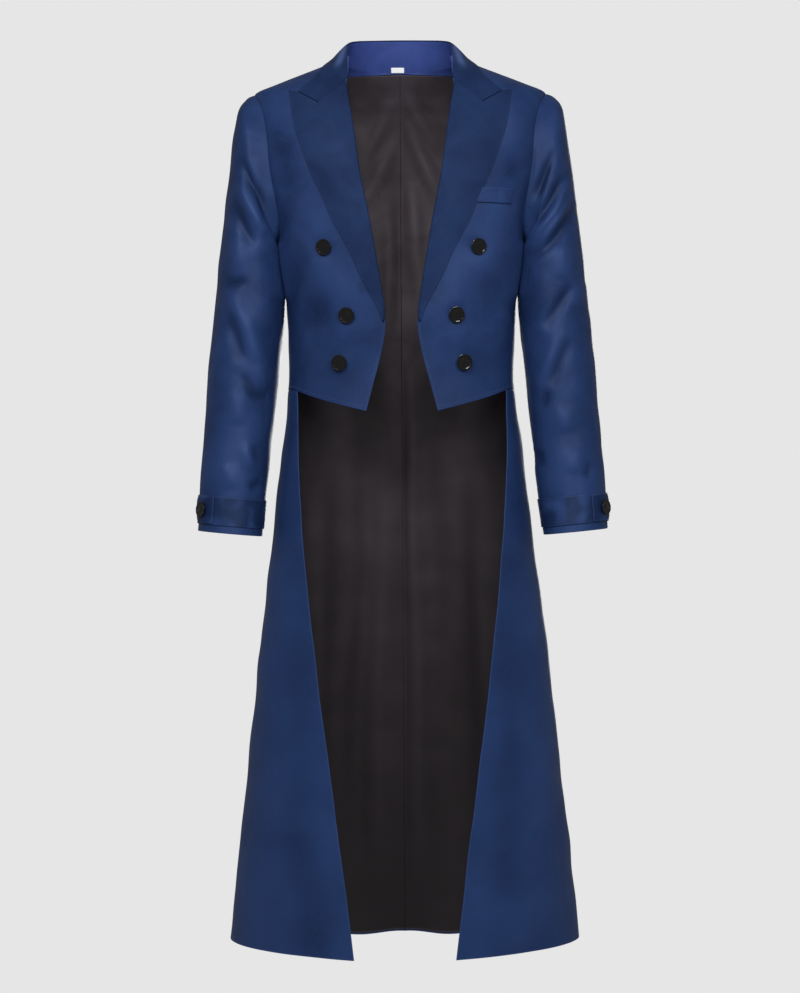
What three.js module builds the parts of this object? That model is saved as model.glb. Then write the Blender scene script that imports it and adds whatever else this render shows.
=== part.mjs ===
// A long-tailed coat, hollow as it is worn: short double-breasted fronts cut to points, peaked lapels,
// a turned-down collar, two-piece sleeves with buttoned cuff bands, and flared tails down to the calf.
// Millimetres, +Z up, the front toward -Y, the wearer's left on +X.
// The origin lies between the shoulders at the level where the shoulder seams meet the neck.
import * as THREE from 'three';

const DEGREE = Math.PI / 180;

// Cloth walls and the room between them
const SHELL_THICKNESS = 1.6;
const LINING_THICKNESS = 1.0;
const COLLAR_THICKNESS = 2.0;
const LAYER_GAP = 0.4;
const SEAM_HALF_GAP = 0.15;
const LINING_INSET = 3;

// The outer form of the coat, level by level. width is half the width, front and back are depths.
const FORM = [
  { z: 17, width: 84, front: 56, back: 61, squareness: 2.3 },
  { z: -4, width: 138.5, front: 66, back: 73, squareness: 2.3 },
  { z: -22, width: 185, front: 75, back: 84, squareness: 2.3 },
  { z: -37, width: 218, front: 82, back: 91, squareness: 2.3 },
  { z: -52, width: 222, front: 88, back: 98, squareness: 2.3 },
  { z: -80, width: 225, front: 97, back: 105, squareness: 2.3 },
  { z: -120, width: 222, front: 108, back: 111, squareness: 2.3 },
  { z: -165, width: 213.5, front: 115, back: 114, squareness: 2.3 },
  { z: -210, width: 198, front: 119, back: 113, squareness: 2.3 },
  { z: -242, width: 187, front: 120, back: 111, squareness: 2.3 },
  { z: -262, width: 184, front: 120, back: 109, squareness: 2.3 },
  { z: -300, width: 179, front: 119, back: 104, squareness: 2.3 },
  { z: -346, width: 172.3, front: 116, back: 96, squareness: 2.3 },
  { z: -405, width: 169, front: 111, back: 90, squareness: 2.3 },
  { z: -464, width: 168, front: 108, back: 88, squareness: 2.25 },
  { z: -500, width: 171, front: 109, back: 90, squareness: 2.2 },
  { z: -585, width: 182, front: 115, back: 94, squareness: 2.1 },
  { z: -735, width: 199, front: 128, back: 100, squareness: 1.95 },
  { z: -1005, width: 229.5, front: 151, back: 108, squareness: 1.8 },
  { z: -1310, width: 263, front: 176, back: 116, squareness: 1.7 },
];

// The armhole, an upright egg shape; its angles run from the shoulder tip down the front to the underarm
const ARMHOLE = { top: -37, bottom: -262, halfDepth: 60, squareness: 2.4 };
const ARMHOLE_ANGLES = [20, 40, 62, 88, 114, 138, 160, 180];

// Seam levels shared by every panel that meets at the side
const SHOULDER_LEVELS = [17, -4, -22, -37];
const ARMHOLE_LEVELS = ARMHOLE_ANGLES.map((angle) => armholeLevel(angle));
const WAIST_LEVELS = [-300, -346, -405, -445, -479];
const TAIL_LEVELS = [-535, -600, -680, -765, -855, -945, -1035, -1125, -1215, -1300];
const BODY_LEVELS = [...SHOULDER_LEVELS, ...ARMHOLE_LEVELS, ...WAIST_LEVELS];
const BACK_NECK_LEVEL = 5;
// The back lining starts below a facing: its top edge drops from the centre to the shoulder seam
const LINING_TOP = { centre: 4.6, side: -3 };
const BACK_HEM_DROP = 9;
const TAIL_FRONT_HEM_DROP = 4;
const TAIL_TOP_SLOPE = 3;
const WAIST = -479;

// Fronts
const FRONT_COLUMNS = 7;
const BACK_COLUMNS = 7;
const TAIL_COLUMNS = 6;
const EDGE_SQUEEZE = 2;
const FRONT_POINT_DROP = 35;
const FRONT_DROP_START = -346;
const FRONT_HEM_LEVEL_SHARE = 0.26;
const FRONT_HEM_CURVE = 1.12;
const FRONT_EDGE = [
  { z: 17, x: 79 },
  { z: -9, x: 77.5 },
  { z: -45, x: 75.5 },
  { z: -75, x: 71 },
  { z: -105, x: 66.6 },
  { z: -165, x: 58.3 },
  { z: -224, x: 46.5 },
  { z: -283, x: 36.4 },
  { z: -342, x: 26.9 },
  { z: -371, x: 23.3 },
  { z: -388, x: 23.3 },
  { z: -416, x: 27 },
  { z: -444, x: 33.5 },
  { z: -473, x: 41.5 },
  { z: -514, x: 52.4 },
];

// Front edge of the tails
const TAIL_EDGE = [
  { z: -479, x: 155 },
  { z: -560, x: 154 },
  { z: -615, x: 153 },
  { z: -675, x: 149 },
  { z: -735, x: 145 },
  { z: -795, x: 139 },
  { z: -855, x: 132 },
  { z: -915, x: 125 },
  { z: -975, x: 117 },
  { z: -1035, x: 108.5 },
  { z: -1095, x: 101 },
  { z: -1155, x: 92.5 },
  { z: -1215, x: 85 },
  { z: -1304, x: 74 },
];

// Peaked lapel: its free edge, and the top edge from the fold down to the notch and up to the peak
const LAPEL_EDGE = [
  { z: -39, x: 163 },
  { z: -65, x: 159.5 },
  { z: -97, x: 154 },
  { z: -122, x: 146 },
  { z: -147, x: 137.5 },
  { z: -173, x: 127 },
  { z: -202, x: 113 },
  { z: -229, x: 102 },
  { z: -256, x: 88 },
  { z: -283, x: 74 },
  { z: -314, x: 60.5 },
  { z: -342, x: 45.5 },
  { z: -366, x: 33 },
  { z: -384, x: 26.5 },
];
const LAPEL_LEVELS = [-66, -95, -122, -150, -180, -212, -245, -280, -315, -350, -384];
const LAPEL_TOP = [
  { x: 79.5, z: -24 },
  { x: 96, z: -40 },
  { x: 119, z: -60 },
  { x: 147, z: -43.5 },
  { x: 163, z: -39 },
];
const LAPEL_FOLD_INSET = 0.5;
const LAPEL_FOLD_HEIGHT = 0.9;
const LAPEL_EDGE_HEIGHT = 2.6;
const LAPEL_ROLL_HEIGHT = 5.5;

// Collar: a stand round the neck, and a fall turned down over it
const ROLL_LINE = [
  { y: 66, z: 55 },
  { y: 45, z: 51.5 },
  { y: 15, z: 41 },
  { y: 0, z: 34 },
  { y: -19, z: 24 },
  { y: -39, z: 13 },
  { y: -58, z: 0 },
];
const ROLL_HALF_WIDTH = 79.5;
const STAND_LEAN = 10;
const STAND_LEAN_FULL_AT = 40;
const STAND_END_HEIGHT = 3;
// Outer edge of the fall and how it rolls out, one place for each station of the neckline
const FALL_EDGE = [
  { angle: 90, z: -12, roll: 7, sag: 0 },
  { angle: 80, z: -12, roll: 7, sag: 0 },
  { angle: 70, z: -11.5, roll: 6, sag: 0 },
  { angle: 58, z: -10, roll: 5, sag: 1 },
  { angle: 45, z: -6.5, roll: 3, sag: 2 },
  { angle: 31, z: -1.5, roll: 2, sag: 3 },
  { angle: 16, z: 4.5, roll: 2, sag: 4 },
  { angle: -6, z: 8, roll: 2, sag: 5 },
  { angle: -33, z: -2, roll: 1, sag: 6 },
  { angle: -46, z: -15, roll: 4, sag: 5 },
];
const FALL_END = [
  { x: 79.5, z: -22 },
  { x: 96, z: -38.5 },
  { x: 108, z: -49.5 },
  { x: 119.5, z: -58.5 },
  { x: 150, z: -41 },
];
const FALL_SHARES = [0, 0.16, 0.42, 0.7, 1];
const FALL_CLEARANCE = 2.8;
const FALL_END_ROLL = 1.5;

// Sleeve: each row is a ring from its outermost point to its innermost one, and its depth
const SLEEVE = [
  { outX: 218, outZ: -37, inX: 184, inZ: -262, depth: 60, y: 0 },
  { outX: 228, outZ: -39.5, inX: 186.8, inZ: -264.5, depth: 62.5, y: 0 },
  { outX: 237, outZ: -46.5, inX: 187.5, inZ: -268, depth: 65, y: 0 },
  { outX: 243, outZ: -61, inX: 187, inZ: -273.5, depth: 66.5, y: 0 },
  { outX: 249, outZ: -94, inX: 183.2, inZ: -281, depth: 67.5, y: 0 },
  { outX: 255, outZ: -138, inX: 181.8, inZ: -291, depth: 67.5, y: 0 },
  { outX: 263, outZ: -202, inX: 179.6, inZ: -306, depth: 67, y: 0 },
  { outX: 270.5, outZ: -265, inX: 176.8, inZ: -325, depth: 66.5, y: -1 },
  { outX: 278, outZ: -342, inX: 174.2, inZ: -350, depth: 65.5, y: -2 },
  { outX: 284.5, outZ: -402, inX: 179.5, inZ: -409, depth: 63.5, y: -4 },
  { outX: 290, outZ: -461, inX: 185.5, inZ: -468, depth: 61, y: -8 },
  { outX: 295, outZ: -527, inX: 192, inZ: -535, depth: 57.5, y: -15 },
  { outX: 300, outZ: -604, inX: 199.5, inZ: -613, depth: 53.5, y: -25 },
  { outX: 304, outZ: -688, inX: 208, inZ: -697, depth: 50, y: -36 },
];
// The ring is squarer at the armhole than at the cuff, and its head follows the armhole's true curve
const SLEEVE_SQUARENESS = { armhole: 2.4, cuff: 2.1 };
const SQUARENESS_EASE_ROWS = 8;
const ARMHOLE_EASE_ROWS = 4;
const TOP_SLEEVE_ANGLES = [-114, -88, -62, -40, -20, 0, 20, 40, 62, 88, 114, 138];
const UNDER_SLEEVE_ANGLES = [138, 160, 180, 200, 222, 246];

// Cuff band and its buttoned tab, as shares of the last sleeve stretch
const CUFF_TOP_SHARE = 0.37;
const CUFF_BOTTOM_SHARE = 0.87;
const TAB_ANGLES = [4, 20, 40, 62];
const TAB_TIP_ANGLE = 7;
const TAB_HALF_HEIGHT = 20;
const TAB_HEIGHT_SHARE = 0.94;
const TAB_TIP_INSET = 9;
const CUFF_BUTTON_ANGLE = 38;

// Buttons: a shank, and a disc whose profile runs from its underside over the rim to the dished middle
const BUTTON_RADIUS = 12;
const CUFF_BUTTON_RADIUS = 11;
const BUTTON_SIDES = 20;
const SHANK = { radius: 3.6, height: 2.2 };
const BUTTON_RIM = [
  { inset: 2, height: 0 },
  { inset: 0, height: 1.4 },
  { inset: 1.2, height: 3.2 },
  { inset: 3, height: 2.6 },
];
const BUTTON_DOME = 3.4;
const BUTTONS = [
  { name: 'top', x: 112, z: -274 },
  { name: 'middle', x: 79.6, z: -374 },
  { name: 'bottom', x: 90.4, z: -443 },
];

// Breast welt on the wearer's left, and the bare label at the back of the neck
const WELT = {
  top: { inner: 112, outer: 162.5, z: -187.5 },
  bottom: { inner: 99, outer: 160.5, z: -209.5 },
};
const WELT_COLUMNS = 5;
const WELT_ROWS = 3;
const WELT_HEIGHT = 0.9;
const LABEL = { centre: -3.5, width: 20, top: 14, bottom: 6, thickness: 1 };


// Value of one column of a table at a level, on a smooth line that keeps the table's own rises and falls
function atLevel(table, column, level, by = 'z') {
  const rising = table[1][by] > table[0][by];
  const last = table.length - 2;
  let i = 0;
  while (i < last && (rising ? level > table[i + 1][by] : level < table[i + 1][by])) {
    i += 1;
  }
  const slope = (k) => (table[k + 1][column] - table[k][column]) / (table[k + 1][by] - table[k][by]);
  const tangent = (k) => {
    if (k === 0 || k === table.length - 1) {
      return slope(k === 0 ? 0 : k - 1);
    }
    const before = slope(k - 1);
    const after = slope(k);
    return before * after <= 0 ? 0 : (2 * before * after) / (before + after);
  };
  const step = table[i + 1][by] - table[i][by];
  const t = (level - table[i][by]) / step;
  if (t < 0) {
    return table[i][column] + slope(i) * (level - table[i][by]);
  }
  if (t > 1) {
    return table[i + 1][column] + slope(i) * (level - table[i + 1][by]);
  }
  const rise = t * t * (3 - 2 * t);
  return table[i][column] * (1 - rise)
    + table[i + 1][column] * rise
    + tangent(i) * step * t * (1 - t) * (1 - t)
    - tangent(i + 1) * step * t * t * (1 - t);
}

// Depth of the form on the front or the back at a level
function depthAt(z, angle) {
  return atLevel(FORM, angle < 0 ? 'front' : 'back', z);
}

// Point of the form: angle 0 is the wearer's left side, -90 degrees the front and +90 the back
function formPoint(z, angle) {
  const power = 2 / atLevel(FORM, 'squareness', z);
  const x = atLevel(FORM, 'width', z) * Math.abs(Math.cos(angle)) ** power;
  const y = depthAt(z, angle) * Math.sign(angle) * Math.abs(Math.sin(angle)) ** power;
  return new THREE.Vector3(x, y, z);
}

// Outward direction of the form at a point
function formNormal(z, angle) {
  const point = formPoint(z, angle);
  const width = atLevel(FORM, 'width', z);
  const depth = depthAt(z, angle);
  const power = atLevel(FORM, 'squareness', z);
  const step = 2;
  const widthRate = (atLevel(FORM, 'width', z + step) - atLevel(FORM, 'width', z - step)) / (2 * step);
  const depthRate = (depthAt(z + step, angle) - depthAt(z - step, angle)) / (2 * step);
  const across = point.x / width;
  const deep = Math.abs(point.y) / depth;
  return new THREE.Vector3(
    across ** (power - 1) / width,
    Math.sign(point.y) * deep ** (power - 1) / depth,
    -(across ** power) * widthRate / width - deep ** power * depthRate / depth,
  ).normalize();
}

// Angle at which the form reaches a given x on the front, or a given y on either side
function angleAtX(z, x) {
  const share = Math.min(1, Math.abs(x) / atLevel(FORM, 'width', z));
  return -Math.acos(share ** (atLevel(FORM, 'squareness', z) / 2));
}

function angleAtY(z, y) {
  const share = Math.min(1, Math.abs(y) / depthAt(z, y));
  return Math.sign(y) * Math.asin(share ** (atLevel(FORM, 'squareness', z) / 2));
}

// Level of the armhole's edge at one of its angles
function armholeLevel(angle) {
  const middle = (ARMHOLE.top + ARMHOLE.bottom) / 2;
  const turn = Math.cos(angle * DEGREE);
  return middle + (ARMHOLE.top - middle) * Math.sign(turn) * Math.abs(turn) ** (2 / ARMHOLE.squareness);
}

// Half the opening of the armhole at a level
function armholeReach(z) {
  const middle = (ARMHOLE.top + ARMHOLE.bottom) / 2;
  const share = Math.min(1, Math.abs(z - middle) / (ARMHOLE.top - middle));
  return ARMHOLE.halfDepth * (1 - share ** ARMHOLE.squareness) ** (1 / ARMHOLE.squareness);
}

// Angle of a panel's outer edge: the shoulder and side seams lie at 0, the armhole between them
function outerAngle(z, facing) {
  return angleAtY(z, facing * armholeReach(z));
}

// A row of places on the form from its inner end to an edge that may stop short of its far end.
// The spacing is even where it reaches the far end, and is squeezed toward the edge where it does not.
function rowOnForm({ from, to, columns, edge = to.angle, bend = () => 0 }) {
  const samples = 60;
  const place = (u) => ({
    z: from.z + (to.z - from.z) * u + bend(u),
    angle: from.angle + (to.angle - from.angle) * u,
  });
  const lengths = [0];
  for (let i = 1; i <= samples; i += 1) {
    const a = place((i - 1) / samples);
    const b = place(i / samples);
    lengths.push(lengths[i - 1] + formPoint(a.z, a.angle).distanceTo(formPoint(b.z, b.angle)));
  }
  const full = lengths[samples];
  const edgeAt = samples * Math.min(1, (edge - from.angle) / (to.angle - from.angle));
  const low = Math.min(samples - 1, Math.floor(edgeAt));
  const reached = lengths[low] + (lengths[low + 1] - lengths[low]) * (edgeAt - low);
  const row = [];
  for (let c = 0; c <= columns; c += 1) {
    const u = c / columns;
    const wanted = full * u * (1 - (1 - reached / full) * u ** EDGE_SQUEEZE);
    let i = 1;
    while (i < samples && lengths[i] < wanted) {
      i += 1;
    }
    const share = (wanted - lengths[i - 1]) / (lengths[i] - lengths[i - 1]);
    const { z, angle } = place((i - 1 + share) / samples);
    row.push({ point: formPoint(z, angle), out: formNormal(z, angle) });
  }
  return row;
}

// Moves the edges of a grid inward along its own lines, by a length for each edge
function trimmed(grid, { top = 0, bottom = 0, first = 0, last = 0 }) {
  const rows = grid.length - 1;
  const columns = grid[0].length - 1;
  const shift = (node, inner, length) => {
    const way = inner.point.clone().sub(node.point);
    return { point: node.point.clone().addScaledVector(way.normalize(), length), out: node.out };
  };
  const sides = grid.map((row) => row.map((node, c) => {
    if (c === 0) {
      return shift(node, row[1], first);
    }
    return c === columns ? shift(node, row[columns - 1], last) : node;
  }));
  return sides.map((row, r) => row.map((node, c) => {
    if (r === 0) {
      return shift(node, sides[1][c], top);
    }
    return r === rows ? shift(node, sides[rows - 1][c], bottom) : node;
  }));
}

// Closed wall over a grid, between two heights along its outward directions. A closed grid is a ring.
// Cells before the mirror column are split the other way, so both halves of a symmetrical piece match.
function wall(grid, high, low, { closed = false, mirrorColumn = 0 } = {}) {
  const columns = grid[0].length;
  const rows = grid.length;
  const positions = [];
  for (const height of [high, low]) {
    for (let r = 0; r < rows; r += 1) {
      for (let c = 0; c < columns; c += 1) {
        const node = grid[r][c];
        const reach = typeof height === 'function' ? height(r, c) : height;
        positions.push(...node.point.clone().addScaledVector(node.out, reach).toArray());
      }
    }
  }
  const id = (layer, r, c) => layer * rows * columns + r * columns + (c % columns);
  const triangles = [];
  const quad = (a, b, c, d) => triangles.push(a, b, c, a, c, d);
  const spans = closed ? columns : columns - 1;
  for (let r = 0; r + 1 < rows; r += 1) {
    for (let c = 0; c < spans; c += 1) {
      // The inner face repeats the outer one's diagonal, so layers stay parallel
      const corners = [[r, c], [r + 1, c], [r + 1, c + 1], [r, c + 1]];
      if (c < mirrorColumn) {
        corners.push(corners.shift());
      }
      const [a, b, d, e] = corners;
      quad(id(0, ...a), id(0, ...b), id(0, ...d), id(0, ...e));
      triangles.push(id(1, ...a), id(1, ...d), id(1, ...b), id(1, ...a), id(1, ...e), id(1, ...d));
    }
  }
  for (let c = 0; c < spans; c += 1) {
    quad(id(0, 0, c), id(0, 0, c + 1), id(1, 0, c + 1), id(1, 0, c));
    quad(id(0, rows - 1, c + 1), id(0, rows - 1, c), id(1, rows - 1, c), id(1, rows - 1, c + 1));
  }
  if (!closed) {
    for (let r = 0; r + 1 < rows; r += 1) {
      const end = columns - 1;
      quad(id(0, r + 1, 0), id(0, r, 0), id(1, r, 0), id(1, r + 1, 0));
      quad(id(0, r, end), id(0, r + 1, end), id(1, r + 1, end), id(1, r, end));
    }
  }
  return facingOut(positions, triangles);
}

// Indexed geometry whose faces point outward, turned over if its volume comes out negative
function facingOut(positions, triangles) {
  const corner = (i) => new THREE.Vector3().fromArray(positions, triangles[i] * 3);
  let volume = 0;
  for (let i = 0; i < triangles.length; i += 3) {
    volume += corner(i).dot(corner(i + 1).cross(corner(i + 2)));
  }
  const order = volume < 0 ? triangles.slice().reverse() : triangles;
  const geometry = new THREE.BufferGeometry();
  geometry.setAttribute('position', new THREE.Float32BufferAttribute(positions, 3));
  geometry.setIndex(order);
  geometry.computeVertexNormals();
  return geometry;
}

// The same shape on the wearer's other side
function mirrored(geometry) {
  const positions = Array.from(geometry.attributes.position.array);
  for (let i = 0; i < positions.length; i += 3) {
    positions[i] = -positions[i];
  }
  return facingOut(positions, Array.from(geometry.index.array));
}

// Fronts: from the lapel fold and front edge to the shoulder, armhole and side seams
function frontGrid() {
  return BODY_LEVELS.map((side) => {
    const drop = side < FRONT_DROP_START ? (FRONT_DROP_START - side) / (FRONT_DROP_START - WAIST) : 0;
    const inner = side - FRONT_POINT_DROP * drop;
    const fall = (u) => Math.max(0, (1 - u - FRONT_HEM_LEVEL_SHARE) / (1 - FRONT_HEM_LEVEL_SHARE));
    const slide = (u) => FRONT_POINT_DROP * drop * (1 - u - fall(u) ** FRONT_HEM_CURVE);
    return rowOnForm({
      from: { z: inner, angle: angleAtX(inner, atLevel(FRONT_EDGE, 'x', inner)) },
      to: { z: side, angle: 0 },
      edge: outerAngle(side, -1),
      columns: FRONT_COLUMNS,
      bend: slide,
    });
  });
}

// Backs: full length, from the centre back seam to the shoulder, armhole and side seams
function backGrid() {
  const levels = [...BODY_LEVELS, ...TAIL_LEVELS];
  const last = TAIL_LEVELS[TAIL_LEVELS.length - 1];
  return levels.map((side) => {
    const neckShare = Math.max(0, (side - ARMHOLE.top) / (FORM[0].z - ARMHOLE.top));
    const hemShare = side < WAIST ? (WAIST - side) / (WAIST - last) : 0;
    const centre = side - (FORM[0].z - BACK_NECK_LEVEL) * neckShare - BACK_HEM_DROP * hemShare;
    return rowOnForm({
      from: { z: centre, angle: Math.PI / 2 },
      to: { z: side, angle: 0 },
      edge: outerAngle(side, 1),
      columns: BACK_COLUMNS,
    });
  });
}

// Back lining: the back's own rows below a top edge that lies between its first two
function backLiningGrid(back) {
  const top = back[0].map((node, c) => {
    const below = back[1][c];
    const wanted = LINING_TOP.centre + ((LINING_TOP.side - LINING_TOP.centre) * c) / BACK_COLUMNS;
    const share = (node.point.z - wanted) / (node.point.z - below.point.z);
    return {
      point: node.point.clone().lerp(below.point, share),
      out: node.out.clone().lerp(below.out, share).normalize(),
    };
  });
  return [top, ...back.slice(1)];
}

// Tails: from the side seam to the tail's front edge
function tailGrid() {
  const levels = [WAIST, ...TAIL_LEVELS];
  const last = TAIL_LEVELS[TAIL_LEVELS.length - 1];
  return levels.map((side) => {
    const edge = side - TAIL_FRONT_HEM_DROP * ((WAIST - side) / (WAIST - last)) - TAIL_TOP_SLOPE;
    return rowOnForm({
      from: { z: side, angle: 0 },
      to: { z: edge, angle: angleAtX(edge, atLevel(TAIL_EDGE, 'x', edge)) },
      columns: TAIL_COLUMNS,
    });
  });
}

// Lapel: over the front from its fold to its free edge, the first row shaped by the notch and the peak
function lapelGrid() {
  const columns = LAPEL_TOP.length - 1;
  const onForm = (x, z) => {
    const angle = angleAtX(z, x);
    return { point: formPoint(z, angle), out: formNormal(z, angle) };
  };
  const rest = LAPEL_LEVELS.map((z) => {
    const fold = atLevel(FRONT_EDGE, 'x', z) + LAPEL_FOLD_INSET;
    const edge = atLevel(LAPEL_EDGE, 'x', z);
    return LAPEL_TOP.map((_, c) => ({ x: fold + ((edge - fold) * c) / columns, z }));
  });
  const halfway = LAPEL_TOP.map(({ x, z }, c) => ({ x: (x + rest[0][c].x) / 2, z: (z + rest[0][c].z) / 2 }));
  return [LAPEL_TOP, halfway, ...rest].map((row) => row.map(({ x, z }) => onForm(x, z)));
}

// Height of the lapel's underside over the front: low at the fold, then a soft roll, then the free edge
function lapelHeight(row, column) {
  const t = column / (LAPEL_TOP.length - 1);
  const fade = 1 - row / (LAPEL_LEVELS.length + 2);
  const edge = LAPEL_FOLD_HEIGHT + (LAPEL_EDGE_HEIGHT - LAPEL_FOLD_HEIGHT) * t;
  return edge + (LAPEL_ROLL_HEIGHT - LAPEL_EDGE_HEIGHT) * fade * Math.sin(Math.PI * t);
}

// Places along the neck, from the centre back round the wearer's left to the front end of the collar
function neckline(front, back) {
  const inner = front.slice(0, 2).map((row) => row[0].point);
  return [...back[0].map((node) => node.point), ...inner];
}

// Collar stand: from the neck seam up to the roll line
function standGrid(front, back) {
  const stations = neckline(front, back);
  const foot = stations.map((point) => point.clone().setZ(point.z + 2 * SEAM_HALF_GAP));
  const top = foot.map((point) => {
    const height = Math.max(atLevel(ROLL_LINE, 'z', point.y, 'y') - point.z, STAND_END_HEIGHT);
    const lean = STAND_LEAN * Math.min(1, Math.max(0, point.y / STAND_LEAN_FULL_AT));
    const top = point.clone().addScaledVector(awayFromNeck(point), -lean);
    return top.set(Math.min(top.x, ROLL_HALF_WIDTH), top.y, point.z + height);
  });
  return { foot, top };
}

// Unit direction away from the neck's middle, in plan
function awayFromNeck(point) {
  return new THREE.Vector3(point.x, point.y, 0).normalize();
}

// Whole row of places from the wearer's right round the back to the left
function bothSides(half) {
  const other = half.slice(1).reverse().map((node) => ({
    point: new THREE.Vector3(-node.point.x, node.point.y, node.point.z),
    out: new THREE.Vector3(-node.out.x, node.out.y, node.out.z),
  }));
  return [...other, ...half];
}

function collarStand(front, back) {
  const { foot, top } = standGrid(front, back);
  const shares = [0, 0.5, 1];
  const grid = shares.map((share) => bothSides(foot.map((point, i) => ({
    point: point.clone().lerp(top[i], share),
    out: awayFromNeck(point),
  }))));
  return wall(grid, 0, -COLLAR_THICKNESS, { mirrorColumn: foot.length - 1 });
}

function collarFall(front, back) {
  const { top } = standGrid(front, back);
  const rollOut = COLLAR_THICKNESS / 2 + 2 * SEAM_HALF_GAP;
  const columns = top.map((roll, i) => {
    const away = awayFromNeck(roll);
    const start = roll.clone().addScaledVector(away, rollOut);
    const { angle, z, roll: rollReach, sag } = FALL_EDGE[i];
    const lie = FALL_CLEARANCE + COLLAR_THICKNESS / 2;
    const end = formPoint(z, angle * DEGREE).addScaledVector(formNormal(z, angle * DEGREE), lie);
    const bulge = start.clone().addScaledVector(away, rollReach).setZ(start.z - sag);
    return new THREE.QuadraticBezierCurve3(start, bulge, end);
  });
  const half = FALL_SHARES.map((share) => columns.map((curve, i) => {
    const point = curve.getPoint(share);
    const along = curve.getTangent(share);
    const side = new THREE.Vector3(0, 0, 1).cross(awayFromNeck(top[i]));
    return { point, out: along.clone().cross(side).normalize().negate() };
  }));
  FALL_SHARES.forEach((share, r) => {
    const { x, z } = FALL_END[r];
    const angle = angleAtX(z, x);
    const out = formNormal(z, angle);
    const lift = FALL_CLEARANCE + COLLAR_THICKNESS / 2 + FALL_END_ROLL * Math.sin(Math.PI * share);
    half[r].push({ point: formPoint(z, angle).addScaledVector(out, lift), out });
  });
  const halfThickness = COLLAR_THICKNESS / 2;
  return wall(half.map(bothSides), halfThickness, -halfThickness, { mirrorColumn: half[0].length - 1 });
}

// One ring of the sleeve at a place along it, measured in rows of the table
function sleevePoint(row, angle) {
  const i = Math.min(Math.floor(row), SLEEVE.length - 2);
  const t = row - i;
  const mix = (key) => SLEEVE[i][key] * (1 - t) + SLEEVE[i + 1][key] * t;
  const outer = new THREE.Vector3(mix('outX'), mix('y'), mix('outZ'));
  const inner = new THREE.Vector3(mix('inX'), mix('y'), mix('inZ'));
  const middle = outer.clone().lerp(inner, 0.5);
  const reach = outer.clone().sub(middle);
  const ease = Math.min(1, row / SQUARENESS_EASE_ROWS);
  const power = 2 / (SLEEVE_SQUARENESS.armhole * (1 - ease) + SLEEVE_SQUARENESS.cuff * ease);
  const turn = angle * DEGREE;
  const along = Math.sign(Math.cos(turn)) * Math.abs(Math.cos(turn)) ** power;
  const deep = -Math.sign(Math.sin(turn)) * Math.abs(Math.sin(turn)) ** power;
  const point = middle.addScaledVector(reach, along);
  point.y += deep * mix('depth');
  return point.add(armholeShift(along, deep, row));
}

// How far the armhole's true curve lies from a flat ring, fading out down the sleeve head
function armholeShift(along, deep, row) {
  const first = SLEEVE[0];
  const z = (first.outZ + first.inZ) / 2 + ((first.outZ - first.inZ) / 2) * along;
  const flat = (first.outX + first.inX) / 2 + ((first.outX - first.inX) / 2) * along;
  const y = first.depth * deep;
  const angle = angleAtY(z, y);
  const fade = Math.max(0, 1 - row / ARMHOLE_EASE_ROWS) ** 2;
  return new THREE.Vector3((formPoint(z, angle).x - flat) * fade, 0, 0);
}

// Place on the sleeve with its outward direction
function sleeveNode(row, angle) {
  const step = 0.02;
  const near = Math.max(0, row - step);
  const far = Math.min(SLEEVE.length - 1, row + step);
  const down = sleevePoint(far, angle).sub(sleevePoint(near, angle));
  const round = sleevePoint(row, angle + 1).sub(sleevePoint(row, angle - 1));
  return { point: sleevePoint(row, angle), out: round.cross(down).normalize() };
}

// Sleeve strip between two seams
function sleeveGrid(angles, rows = SLEEVE.map((_, i) => i)) {
  return rows.map((row) => angles.map((angle) => sleeveNode(row, angle)));
}

// Tab over the cuff band: straight edges and a pointed end past the button
function tabGrid(cuffRows) {
  const middle = (cuffRows[0] + cuffRows[1]) / 2;
  const half = (cuffRows[1] - cuffRows[0]) / 2;
  const slant = half * (TAB_TIP_INSET / TAB_HALF_HEIGHT);
  const [tip] = TAB_ANGLES;
  const edges = [-1, 0, 1].map((side) => middle + half * TAB_HEIGHT_SHARE * side);
  return edges.map((row, r) => TAB_ANGLES.map((angle) => {
    const narrowed = angle === tip ? middle + (row - middle) * (1 - slant / half) : row;
    return sleeveNode(narrowed, angle === tip && r !== 1 ? tip + TAB_TIP_ANGLE : angle);
  }));
}

// The tab's button, facing the way the cuff does there
function cuffButton(cuffRows, height) {
  const { point, out } = sleeveNode((cuffRows[0] + cuffRows[1]) / 2, CUFF_BUTTON_ANGLE);
  const seat = point.addScaledVector(out, height + 2 * SEAM_HALF_GAP);
  return button(seat, out, CUFF_BUTTON_RADIUS);
}

// Lathed button standing on the cloth: a place, the direction it faces, and its radius
function button(place, facing, radius) {
  const profile = [
    new THREE.Vector2(0, 0),
    new THREE.Vector2(SHANK.radius, 0),
    new THREE.Vector2(SHANK.radius, SHANK.height),
    ...BUTTON_RIM.map(({ inset, height }) => new THREE.Vector2(radius - inset, SHANK.height + height)),
    new THREE.Vector2(0, SHANK.height + BUTTON_DOME),
  ];
  const geometry = new THREE.LatheGeometry(profile, BUTTON_SIDES);
  const turn = new THREE.Quaternion().setFromUnitVectors(new THREE.Vector3(0, 1, 0), facing);
  geometry.applyQuaternion(turn);
  geometry.translate(place.x, place.y, place.z);
  return geometry;
}

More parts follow.
